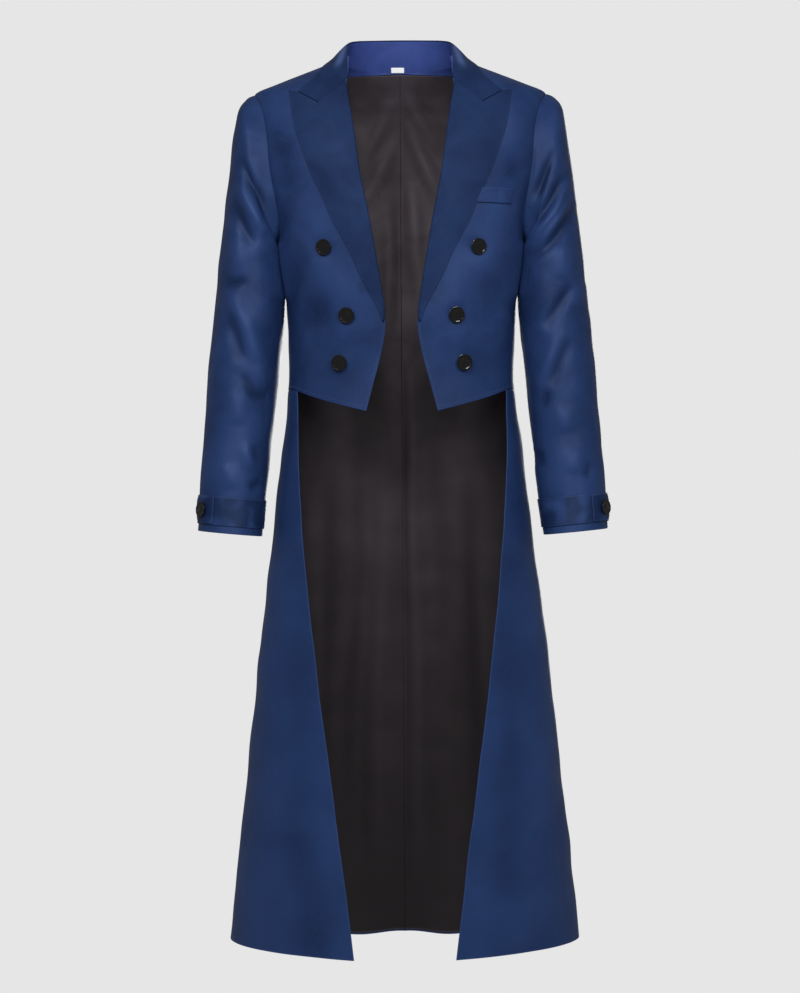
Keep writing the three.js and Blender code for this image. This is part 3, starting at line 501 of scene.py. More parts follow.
def stand_grid():
    """The stand, from its facing below the neck seam up to the inside of the roll."""
    centre, out, _, _ = collar_roll()
    stations = neck_stations()
    foot = np.concatenate([stations, centre[-1:] - (0, 0, STAND_END_DROP)])
    back = len(stations) - 2
    inward = np.where(np.arange(len(foot)) < back, FACING["in"], 0)[:, None]
    foot = foot - away_from_neck(foot) * inward + (0, 0, STAND_RAISED)
    leaning = np.zeros((len(foot), 1))
    leaning[-len(STAND_ENDS_OUT):, 0] = STAND_ENDS_OUT
    foot = foot + away_from_neck(foot) * leaning
    # Below the neck seam its facing lies inside the back, down to the lining
    low_start = (LINING_TOP["centre"] + FACING["above"], math.pi / 2)
    low_end = (LINING_TOP["side"] + FACING["above"], 0.0)
    low = row_on_form(low_start, low_end, 0.0, np.linspace(0, 1, back))
    low = low - form_normal(low[:, 2], angle_at_y(low[:, 2], low[:, 1])) * FACING["depth"]
    low = np.concatenate([low, foot[back:] - (0, 0, STAND_END_FACING)])
    top = centre - out * (COLLAR_ROLL - COLLAR_CLOTH / 2) + away_from_neck(centre) * leaning
    rows = [low * (1 - t) + foot * t for t in FACING_SHARES]
    for t in shares_of(STAND_HEIGHT, SMALL_STEP):
        rows.append(foot * (1 - t) + top * t - out * (COLLAR_CLOTH * STAND_BOW * math.sin(math.pi * t)))
    rows = np.array(rows)
    places = np.arange(len(foot), dtype=float)
    wanted = np.linspace(0, places[-1], STAND_HALF_PLACES)
    return both_sides(spline(rows.transpose(1, 0, 2), places, wanted).transpose(1, 0, 2))


def fall_grid():
    """The fall starts inside the roll, turns over it, and lies down on the shoulders."""
    centre, out, crest, end = collar_roll()
    bulge = out[:-1] * FALL_EDGE["roll"][:, None] - (0, 0, 1) * FALL_EDGE["sag"][:, None]
    bulge = np.concatenate([bulge, -crest[-1:] * FALL_END_ROLL])
    leave = np.arctan2(np.sum(bulge * out, -1), -np.sum(bulge * crest, -1))
    leave = np.clip(leave, 0, math.pi / 2)
    rows = []
    for t in ROLL_SHARES:
        turn = math.pi + (leave - math.pi) * t
        rows.append(centre + COLLAR_ROLL * (out * np.cos(turn)[:, None] + crest * np.sin(turn)[:, None]))
    start = rows[-1]
    control = start + bulge
    # The roll takes the place of the edge's first lines, and the notch has a line of its own
    shares = np.unique(np.concatenate([shares_of(FALL_LENGTH, SMALL_STEP), FALL_END["share"][3:4]]))[4:]
    x, z = (np.interp(shares, FALL_END["share"], FALL_END[k]) for k in ("x", "z"))
    close = angle_at_x(z, x)
    lift = FALL_LIES + COLLAR_CLOTH / 2 + FALL_END_LIFT * np.sin(math.pi * shares)
    last = form_point(z, close) + form_normal(z, close) * lift[:, None]
    for t, place in zip(shares, last):
        row = (1 - t) ** 2 * start + 2 * t * (1 - t) * control + t * t * end
        row[-1] = place
        rows.append(row)
    grid = np.array(rows)
    middle = grid[len(grid) // 2]
    places = run_along(middle)
    reach = places[-1] - places[-2]
    wanted = np.concatenate([
        np.linspace(0, places[-2], FALL_HALF_PLACES)[:-1],
        places[-2] + spread(reach, SMALL_STEP),
    ])
    return both_sides(spline(grid.transpose(1, 0, 2), places, wanted).transpose(1, 0, 2))


def sleeve_point(row, angle):
    """Point of the left sleeve. Angle 0 is outermost, 90 degrees the front and 180 innermost."""
    row, angle = np.broadcast_arrays(np.asarray(row, float), np.asarray(angle, float))
    ring = {name: at(SLEEVE, name, row, by="row") for name in ("outX", "outZ", "inX", "inZ", "depth", "y")}
    ease = np.minimum(1, row / SQUARE_ROWS)
    power = 2 / (HEAD_SQUARENESS * (1 - ease) + SLEEVE_SQUARENESS * ease)
    along = np.sign(np.cos(angle)) * np.abs(np.cos(angle)) ** power
    deep = -np.sign(np.sin(angle)) * np.abs(np.sin(angle)) ** power
    x = (ring["outX"] + ring["inX"]) / 2 + (ring["outX"] - ring["inX"]) / 2 * along
    z = (ring["outZ"] + ring["inZ"]) / 2 + (ring["outZ"] - ring["inZ"]) / 2 * along
    y = ring["y"] + ring["depth"] * deep
    # The head follows the armhole's true curve, fading out down the sleeve
    first_z = (SLEEVE["outZ"][0] + SLEEVE["inZ"][0]) / 2 + (SLEEVE["outZ"][0] - SLEEVE["inZ"][0]) / 2 * along
    flat = (SLEEVE["outX"][0] + SLEEVE["inX"][0]) / 2 + (SLEEVE["outX"][0] - SLEEVE["inX"][0]) / 2 * along
    curve = form_point(first_z, angle_at_y(first_z, SLEEVE["depth"][0] * deep))[..., 0]
    fade = np.maximum(0, 1 - row / CURVED_ROWS) ** 2
    return np.stack([x + (curve - flat) * fade, y, z], -1)


def sleeve_grid(first, last):
    """A strip of the sleeve between two angles in degrees."""
    width = last - first
    angles = np.radians(first + width * shares_of(width, SLEEVE_STEP))
    fine = np.linspace(0, SLEEVE_ROWS, SLEEVE_SAMPLES)
    line = sleeve_point(fine, np.full_like(fine, math.radians(SLEEVE_LINE)))
    lengths = run_along(line)
    rows = np.interp(spread(lengths[-1], ROW_STEP), lengths, fine)
    return sleeve_point(rows[:, None], angles[None, :])


def sleeve_out(row, angle):
    """Outward direction of the sleeve at one place or several."""
    down = sleeve_point(np.add(row, 0.02), angle) - sleeve_point(np.add(row, -0.02), angle)
    around = sleeve_point(row, np.add(angle, 0.01)) - sleeve_point(row, np.add(angle, -0.01))
    return unit(np.cross(around, down))


# ---------------------------------------------------------------- folds, listed one by one

# Each fold is a half width, a height (below zero for a trough), and its line as x, z places
RIGHT_SLEEVE_FOLDS = [
    (6.5, -6.8, (-237, -136), (-221, -174), (-207, -196), (-198, -235)),
    (8, 5.0, (-241, -170), (-227, -201), (-214, -226), (-200, -251)),
    (9.5, -5.9, (-251, -198), (-236, -232), (-219, -268)),
    (14.5, 4.3, (-246, -255), (-241, -287), (-240, -320)),
    (5.5, -4.0, (-262, -322), (-247, -323), (-230, -318)),
    (11.5, 5.4, (-263, -330), (-241, -362), (-228, -393), (-217, -424), (-198, -448)),
    (10.5, -5.1, (-258, -370), (-243, -405), (-236, -440)),
    (12.5, 3.1, (-212, -440), (-208, -459), (-204, -480)),
    (6, -5.1, (-235, -458), (-222, -482), (-212, -490), (-198, -491)),
    (12.5, 3.4, (-246, -480), (-242, -502), (-244, -530)),
    (9, 3.4, (-231, -560), (-226, -580), (-221, -597)),
    (7.5, -3.6, (-214, -560), (-216, -574), (-213, -590)),
    (6.5, -4.0, (-208, -614), (-217, -622), (-226, -627)),
    (11, 2.6, (-257, -590), (-254, -606), (-251, -625)),
]
LEFT_SLEEVE_FOLDS = [
    (6.5, -6.4, (228, -126), (214, -160), (203, -184), (199, -200)),
    (6.5, 4.6, (200, -110), (198, -146), (196, -184)),
    (7.5, -5.9, (247, -158), (227, -196), (211, -219), (197, -239)),
    (5.5, 3.9, (249, -166), (237, -198), (222, -226), (193, -258)),
    (5.5, 3.6, (252, -196), (240, -220), (227, -239), (202, -278)),
    (9.5, -6.4, (260, -204), (242, -238), (222, -264), (186, -290)),
    (15.5, 3.4, (240, -268), (238, -294), (241, -318)),
    (7.5, -5.9, (255, -327), (238, -350), (223, -372), (210, -392)),
    (11.5, 3.9, (267, -318), (265, -338), (262, -360)),
    (11, 4.6, (239, -394), (218, -440), (199, -485)),
    (7.5, -4.5, (247, -408), (232, -445), (219, -478)),
    (5.5, -3.6, (216, -484), (211, -496), (205, -511)),
    (13.5, 3.1, (242, -508), (240, -525), (244, -545)),
    (12.5, 3.1, (254, -568), (253, -587), (250, -606)),
    (6.5, -3.6, (277, -588), (275, -601), (271, -614)),
    (7.5, -3.6, (201, -570), (202, -583), (205, -600)),
]
# The backs of the sleeves, much alike on both sides: long drags from the shoulder blade, folds at the elbow
RIGHT_SLEEVE_BACK_FOLDS = [
    (8.5, -6.4, (-206, -96), (-224, -150), (-241, -196)),
    (11, 4.6, (-203, -150), (-226, -206), (-248, -246)),
    (8.5, -5.5, (-196, -206), (-226, -262), (-254, -290)),
    (6.5, -6.8, (-205, -352), (-232, -360), (-262, -345)),
    (11, 5.4, (-200, -378), (-232, -392), (-268, -372)),
    (6.5, -5.5, (-206, -412), (-236, -424), (-270, -409)),
    (12.5, 3.4, (-232, -450), (-240, -520), (-244, -575)),
    (7.5, -3.6, (-262, -470), (-262, -520), (-264, -560)),
]
LEFT_SLEEVE_BACK_FOLDS = [
    (9.5, -5.9, (208, -104), (227, -160), (243, -214)),
    (11, 4.6, (202, -160), (229, -222), (251, -258)),
    (7.5, -5.5, (197, -226), (228, -276), (256, -306)),
    (7.5, -6.4, (203, -338), (233, -352), (264, -340)),
    (10, 5.0, (200, -366), (235, -383), (268, -370)),
    (7.5, -5.9, (204, -402), (238, -415), (272, -396)),
    (6.5, -4.0, (212, -440), (240, -450), (268, -442)),
    (12.5, 3.4, (236, -476), (242, -530), (246, -590)),
]
FRONT_FOLDS = [
    (26, 3.8, (-155, -190), (-130, -265), (-105, -330), (-62, -410)),
    (22, -2.9, (-158, -262), (-142, -330), (-118, -395)),
    (20, 2.6, (-152, -320), (-148, -390), (-128, -440)),
    (14, -2.6, (-192, -120), (-176, -150), (-160, -196)),
    (11, 1.9, (-200, -160), (-184, -196), (-170, -226)),
    (26, 4.2, (160, -196), (136, -262), (98, -320), (52, -408)),
    (20, -1.7, (162, -276), (150, -330), (120, -388)),
    (18, 2.6, (156, -330), (150, -390), (126, -436)),
    (14, -2.6, (196, -110), (178, -146), (163, -180)),
    (10, 1.9, (202, -150), (186, -188), (172, -222)),
    # The tails hang in long soft flutes from the hips
    (34, 2.4, (-186, -560), (-196, -800), (-204, -1050), (-196, -1330)),
    (30, -1.7, (-166, -640), (-164, -860), (-150, -1080), (-128, -1330)),
    (26, 1.5, (-150, -980), (-118, -1140), (-96, -1330)),
    (34, 2.3, (184, -600), (200, -830), (206, -1060), (214, -1330)),
    (30, -1.5, (166, -600), (162, -830), (160, -1060), (150, -1330)),
    (24, 1.5, (142, -900), (128, -1120), (104, -1330)),
]
BACK_FOLDS = [
    # Shoulder blades, then drags into the waist
    (52, 2.6, (-96, -96), (-104, -150), (-96, -215)),
    (50, 2.4, (98, -92), (103, -156), (94, -220)),
    (16, -2.0, (-178, -150), (-150, -206), (-110, -262)),
    (14, -1.8, (180, -165), (146, -222), (112, -256)),
    (12, -1.6, (-150, -392), (-108, -420), (-58, -428)),
    (11, 1.4, (-146, -428), (-96, -452), (-40, -456)),
    (12, -1.6, (152, -378), (112, -408), (64, -416)),
    (11, 1.3, (148, -418), (100, -444), (46, -449)),
    # Flutes of the skirt
    (40, 4.6, (-60, -540), (-66, -800), (-78, -1060), (-84, -1340)),
    (34, -4.2, (-104, -590), (-124, -830), (-140, -1080), (-150, -1340)),
    (38, 4.0, (-140, -640), (-172, -880), (-190, -1110), (-206, -1340)),
    (28, -3.4, (-22, -700), (-26, -920), (-30, -1120), (-34, -1340)),
    (40, 4.4, (64, -560), (74, -820), (82, -1080), (96, -1340)),
    (34, -4.4, (112, -600), (126, -850), (146, -1090), (158, -1340)),
    (36, 4.0, (148, -660), (176, -900), (200, -1120), (214, -1340)),
    (26, -3.0, (26, -760), (30, -960), (36, -1140), (38, -1340)),
]
# The lining hangs a little loose, so its folds stand off the shell toward the wearer
LINING_FOLDS = [
    (9, 5.1, (8, -18), (30, -60), (62, -112)),
    (11, 5.8, (10, -58), (34, -120), (66, -190)),
    (8, 3.8, (-14, -30), (-36, -84), (-70, -140)),
    (10, 4.5, (-12, -96), (-42, -160), (-84, -212)),
    (12, 4.2, (16, -150), (24, -250), (30, -360)),
    (10, 3.5, (-20, -180), (-18, -290), (-24, -400)),
    (14, 4.8, (60, -220), (52, -330), (58, -450)),
    (13, 4.5, (-62, -250), (-56, -360), (-66, -470)),
    (16, 5.4, (14, -430), (12, -640), (22, -900), (18, -1240)),
    (18, 5.1, (-34, -480), (-30, -700), (-44, -960), (-40, -1250)),
    (20, 5.8, (66, -520), (76, -760), (70, -1000), (84, -1250)),
    (18, 5.4, (-84, -500), (-78, -760), (-98, -1010), (-92, -1250)),
    (16, 4.8, (112, -560), (118, -780), (130, -1000), (128, -1240)),
    (16, 4.8, (-122, -580), (-130, -800), (-134, -1020), (-140, -1240)),
]


# A fold is read at this many places, and fades toward its ends by this power of a full arc
FOLD_SAMPLES, FOLD_FADE = 20, 0.7


def mound(*away):
    """1 in the middle of a mound, fading smoothly with each distance from it, counted in its half widths."""
    return np.exp(-sum(share ** 2 for share in away))


def folded(x, z, folds):
    """Height of a set of folds at places x, z: each is round across, and fades toward both its ends."""
    total = np.zeros(x.shape)
    for width, height, *line in folds:
        line = np.array(line, float)
        line = spline(line, np.arange(len(line)), np.linspace(0, len(line) - 1, FOLD_SAMPLES))
        start, step = line[:-1], np.diff(line, axis=0)
        px, pz = x[..., None] - start[:, 0], z[..., None] - start[:, 1]
        along = np.clip((px * step[:, 0] + pz * step[:, 1]) / np.sum(step * step, -1), 0, 1)
        far = np.hypot(px - along * step[:, 0], pz - along * step[:, 1])
        nearest = np.argmin(far, -1)[..., None]
        far = np.take_along_axis(far, nearest, -1)[..., 0]
        share = (np.take_along_axis(along, nearest, -1)[..., 0] + nearest[..., 0]) / len(step)
        fade = (4 * share * (1 - share)) ** FOLD_FADE
        total += height * fade * mound(far / width)
    return total


def uneven(points, size, height, seed):
    """The slight waviness of pressed cloth, in waves of about the given size."""
    values = [noise.noise(Vector(p)) for p in (points.reshape(-1, 3) / size + (seed, 0, 0))]
    return height * np.array(values).reshape(points.shape[:-1])


def mirrored(points, side):
    """Places or directions of the left half, for the half on the given side."""
    return points * (side, 1, 1)


def near(distance, reach):
    """1 at no distance, fading smoothly to 0 over the reach."""
    share = np.clip(distance / reach, 0, 1)
    return 1 - share * share * (3 - 2 * share)


def half_ahead(y, ease):
    """1 in front of y = 0 and 0 behind it, easing over from one to the other."""
    # Past 30 it no longer changes
    return 1 / (1 + np.exp(np.clip(y / ease, -30, 30)))


# Below the armhole, sleeve and body bulge against each other ahead of the side seam and behind it
UNDERARM = {"z": -303, "half": 35, "ease": 14, "y": 30, "width": 16, "height": 3.9, "calm": 60}
ARMPIT = {"z": -271, "half": 6, "width": 22, "height": 3.7, "seam": 3.5}
ARMPIT_ROLL = {"z": -250, "half": 15, "y": 42, "width": 13, "height": 4.5, "seam": 5}


def under_arm(y, z):
    """How far cloth bulges where sleeve and body lie against each other."""
    level = near(np.maximum(0, np.abs(z - UNDERARM["z"]) - UNDERARM["half"]), UNDERARM["ease"])
    return UNDERARM["height"] * level * mound((np.abs(y) - UNDERARM["y"]) / UNDERARM["width"])


def armpit_roll(y, z):
    """The roll of cloth where the armhole seam turns in under the arm, ahead of it and behind it."""
    along = (np.abs(y) - ARMPIT_ROLL["y"]) / ARMPIT_ROLL["width"]
    return ARMPIT_ROLL["height"] * mound((z - ARMPIT_ROLL["z"]) / ARMPIT_ROLL["half"], along)


# The cloth lies smooth from the neck down to the lowest point of the collar's fall
COLLAR_REACH, COLLAR_EASE = -60, 30
BUTTONS = {"top": (112, -274), "middle": (79.6, -374), "bottom": (90.4, -443)}
# Distances over which the cloth is held calm beside a set-in sleeve and under a button
ARMHOLE_CALM, BUTTON_CALM = 22, 24
# Waves of the cloth: their size, height and seed
BODY_WAVES, SLEEVE_WAVES = ((85, 2.6, 0.0), (42, 1.0, 7.0)), ((70, 1.8, 11.0), (34, 1.0, 5.0))
# Front and back folds ease over into each other across this much of the side
BODY_TURN, SLEEVE_TURN = 12, 9
# Outward of this, in X, the body's cloth lies beside the sleeve's
SIDE_X = 120
# Stands for places that are farther off than any of these distances
FAR = 99


def body_relief(points, side):
    """How far the body's cloth stands off its form, at places of its left half, for one side of the coat."""
    real = mirrored(points, side)
    x, y, z = np.moveaxis(real, -1, 0)
    ahead = half_ahead(y, BODY_TURN)
    lift = folded(x, z, FRONT_FOLDS) * ahead + folded(x, z, BACK_FOLDS) * (1 - ahead)
    for waves in BODY_WAVES:
        lift = lift + uneven(real, *waves)
    lift = lift * (1 - near(np.hypot(z - UNDERARM["z"], y), UNDERARM["calm"]))
    inside = np.where((z < ARMHOLE_TOP) & (z > ARMHOLE_BOTTOM), np.abs(y) - armhole_reach(z), FAR)
    below = np.hypot(np.maximum(0, ARMHOLE_BOTTOM - z), np.abs(y))
    calm = 1 - near(np.where(np.abs(x) > SIDE_X, np.minimum(inside, below), FAR), ARMHOLE_CALM)
    calm = calm * (1 - near(np.maximum(0, COLLAR_REACH - z), COLLAR_EASE))
    for bx, bz in BUTTONS.values():
        calm = calm * (1 - ahead * near(np.hypot(np.abs(x) - bx, z - bz), BUTTON_CALM))
    return lift * calm + under_arm(y, z) * (np.abs(x) > SIDE_X)


# ---------------------------------------------------------------- making a sheet

def grid_normals(grid, outside, closed=False):
    """Unit directions square to the cloth, on the side that outside points to."""
    down = np.gradient(grid, axis=0)
    across = np.gradient(grid, axis=1)
    if closed:
        across = (np.roll(grid, -1, axis=1) - np.roll(grid, 1, axis=1)) / 2
    out = np.cross(down, across)
    out[np.abs(grid[..., 0]) < 1e-6, 0] = 0
    out = out / np.maximum(np.linalg.norm(out, axis=-1, keepdims=True), 1e-12)
    return out * np.sign(np.sum(out * outside))


def edge_distances(grid):
    """Distance along the cloth from its top, bottom, first and last edges."""
    down = np.linalg.norm(np.diff(grid, axis=0), axis=-1)
    across = np.linalg.norm(np.diff(grid, axis=1), axis=-1)
    top = np.concatenate([np.zeros_like(grid[:1, :, 0]), np.cumsum(down, axis=0)])
    first = np.concatenate([np.zeros_like(grid[:, :1, 0]), np.cumsum(across, axis=1)], axis=1)
    return {"top": top, "bottom": top[-1:] - top, "first": first, "last": first[:, -1:] - first}


# Distance over which an edge is rounded off where it is sewn to another
SEAM_SOFT = 0.35
# A fold's height at which it takes its full painted shade or painted highlight is half of this
PAINTED_FOLD_LIGHT_SWING = 12
# How far the marks of turned edges and of seams reach into a sheet. The finish paints edges lighter, partly
# as a painted highlight, and seams darker, partly as painted shade
EDGE_MARK, SEAM_MARK = 2.2, 1.2


def from_axis(grid):
    """Directions away from the coat's upright axis."""
    return grid * (1, 1, 0)


def sheet_mesh(name, grid, outside, thickness, free=(), seams=(), closed=False, side=1, soft=None, rise=0):
    """A closed thin shell under a grid of its outer face, with edges rounded off over the distance soft.
    free edges are turned ones, and seams are joined ones: both are marked for the cloth's finish, as is rise,
    the height of the folds at each place of the grid, from which the finish paints shade and highlight."""
    rows, count = grid.shape[:2]
    out = grid_normals(grid, outside, closed)
    distances = edge_distances(grid)
    share = np.zeros((rows, count))
    for k in ("top", "bottom") if closed else ("top", "bottom", "first", "last"):
        reach = soft or (SEAM_SOFT if k in seams else thickness / 2)
        share = np.maximum(share, 1 - np.clip(distances[k] / reach, 0, 1))
    half = thickness / 2 * np.sqrt(np.clip(1 - share * share, 0, 1))[..., None]
    middle = grid - out * thickness / 2
    outer, inner = middle + out * half, middle - out * half
    # Both faces share the points of the edges, and the inner face has its own points elsewhere
    edge = np.zeros((rows, count), bool)
    edge[0], edge[-1] = True, True
    if not closed:
        edge[:, 0], edge[:, -1] = True, True
    outer_id = np.arange(rows * count).reshape(rows, count)
    inner_id = outer_id.copy()
    inner_id[~edge] = rows * count + np.arange(np.sum(~edge))
    if closed:
        outer_id = np.concatenate([outer_id, outer_id[:, :1]], axis=1)
        inner_id = np.concatenate([inner_id, inner_id[:, :1]], axis=1)

    def quads(ids, turned):
        """Faces between neighbouring points, which turned ones join the other way round."""
        corners = [ids[:-1, :-1], ids[1:, :-1], ids[1:, 1:], ids[:-1, 1:]]
        return np.stack(corners[::-1] if turned else corners, -1).reshape(-1, 4)

    def spread_out(values):
        """A grid's values, for each of the mesh's points."""
        return np.concatenate([values.reshape(-1), values[~edge]]).astype(np.float32)

    # Rows run down and columns across, so this order faces down x across
    faced = np.cross(grid[1:, 1:] - grid[:-1, 1:], grid[1:, 1:] - grid[1:, :-1])
    turned = (np.sum(faced * out[1:, 1:]) <= 0) != (side < 0)
    points = np.concatenate([outer.reshape(-1, 3), inner[~edge]]) * (side, 1, 1)
    faces = np.concatenate([quads(outer_id, turned), quads(inner_id, not turned)])
    mesh = bpy.data.meshes.new(name)
    mesh.from_pydata((points * MM).tolist(), [], faces.tolist())
    mesh.shade_smooth()

    # The cloth's own lengths across and down are its UV map
    place = np.stack([spread_out(distances["first"]), spread_out(distances["top"])], -1) * MM
    layer = mesh.uv_layers.new(name="cloth")
    loops = np.zeros(len(mesh.loops), np.int32)
    mesh.loops.foreach_get("vertex_index", loops)
    layer.uv.foreach_set("vector", place[loops].reshape(-1).astype(np.float32))
    marks = {}
    for key, names, reach in (("edge", free, EDGE_MARK), ("seam", seams, SEAM_MARK)):
        marks[key] = np.zeros((rows, count))
        for k in names:
            marks[key] = np.maximum(marks[key], mound(distances[k] / reach))
    # The rise mark carries painted light: shade for the hollows of folds, highlight for their crests
    marks["rise"] = np.clip(0.5 + rise / PAINTED_FOLD_LIGHT_SWING + np.zeros((rows, count)), 0, 1)
    for key, value in marks.items():
        mesh.attributes.new(key, "FLOAT", "POINT").data.foreach_set("value", spread_out(value))
    piece = bpy.data.objects.new(name, mesh)
    bpy.context.scene.collection.objects.link(piece)
    return piece


# Gap between two cloths, one tucked under the other
UNDER_GAP = 0.2


def tucked_under(grid, out, reach, depth, ease):
    """A grid that dips by depth at its top, and whose first row goes on by reach, to lie under the piece that
    it is sewn to."""
    dip = depth * near(edge_distances(grid)["top"], ease)
    placed = grid - out * dip[..., None]
    first = grid[0] + unit(grid[0] - grid[1]) * reach - out[0] * (CLOTH + UNDER_GAP)
    return np.concatenate([first[None], placed])


# A cut's area stays under this share of its width times its length
FULLEST_CUT = 0.999


def flat_size(grid):
    """The sheet's width, length and area as cut, in metres."""
    distances = edge_distances(grid)
    width, length = distances["first"][:, -1].max(), distances["top"][-1].max()
    a, b = grid[1:, 1:] - grid[:-1, :-1], grid[1:, :-1] - grid[:-1, 1:]
    area = np.linalg.norm(np.cross(a, b), axis=-1).sum() / 2
    return width * MM, length * MM, area * MM * MM


def cloth_piece(name, stands_for, cloth, grid, outside=None, thickness=CLOTH, held="stretched", rests_on=(),
                **shape):
    """Makes a sheet of cloth with its finish, hides the part that it stands for, and works out the size of
    its cut.
    """
    finish, slot = cloth
    piece = sheet_mesh(name, grid, from_axis(grid) if outside is None else outside, thickness, **shape)
    piece.data.materials.append(finish)
    width, length, area = flat_size(grid)
    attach(piece, "root")
    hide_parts(stands_for)
    area = min(area, FULLEST_CUT * width * length)


# ---------------------------------------------------------------- finishes

def linear(hex_colour):
    """An sRGB hex colour as the linear values that a shader takes."""
    parts = [int(hex_colour[i:i + 2], 16) / 255 for i in (1, 3, 5)]
    return [c / 12.92 if c <= 0.04045 else ((c + 0.055) / 1.055) ** 2.4 for c in parts] + [1.0]


def node(tree, kind, settings=None, links=None):
    """Adds a node with its settings and the links into it. A setting is a property of the node, the stops of
    its ramp as (place, grey), or else an input's value. Colours are sRGB hex values."""
    added = tree.nodes.new("ShaderNode" + kind)
    for key, value in {**(settings or {}), **(links or {})}.items():
        if key == "stops":
            elements = added.color_ramp.elements
            while len(elements) < len(value):
                elements.new(0.5)
            for element, (place, grey) in zip(elements, value):
                element.position = place
                element.color = (grey, grey, grey, 1)
        elif isinstance(value, bpy.types.NodeSocket):
            tree.links.new(value, added.inputs[key])
        elif isinstance(key, str) and hasattr(added, key):
            setattr(added, key, value)
        else:
            added.inputs[key].default_value = linear(value) if isinstance(value, str) else value
    return added


def new_finish(name):
    """A material with an empty node tree, and that tree."""
    finish = bpy.data.materials.new(name)
    finish.use_nodes = True
    finish.node_tree.nodes.clear()
    return finish, finish.node_tree


def layered(tree, base, *layers):
    """A colour with others laid over it. Each layer is a source, the stops that turn it into a share, or None
    where it is one already, the layer's colour, and MULTIPLY where that isn't plainly mixed in."""
    for source, stops, colour, *blend in layers:
        if stops:
            source = node(tree, "ValToRGB", {"stops": stops}, {"Fac": source}).outputs["Color"]
        base = node(tree, "Mix", {
            "data_type": "RGBA",
            "blend_type": blend[0] if blend else "MIX",
            "clamp_result": True,
        }, {0: source, 6: base, 7: colour}).outputs[2]
    return base


# Scale of a wave texture whose lines lie one unit apart, and metres to millimetres for it
WAVE_SCALE = 0.314
TO_MM = (1 / MM, 1 / MM, 1 / MM)
# The weft's lines cross the twill's at this angle
CROSSING = 84
# Threads are drawn 2 mm across and 8 mm long, and the cloth's cloudy patches 5 cm wide: finer ones don't show
THREADS = (500, 120, 1)
CLOUDS = 19.0
# Painted shade on the lining at each level, in metres: least at the chest, most at the hem
LINING_SHADE = (
    (-1.2, 1.0), (-0.85, 0.96), (-0.58, 0.86), (-0.46, 0.55), (-0.34, 0.17), (-0.22, 0.17), (-0.13, 0.48),
)
SHADE_DEPTH = 1.3


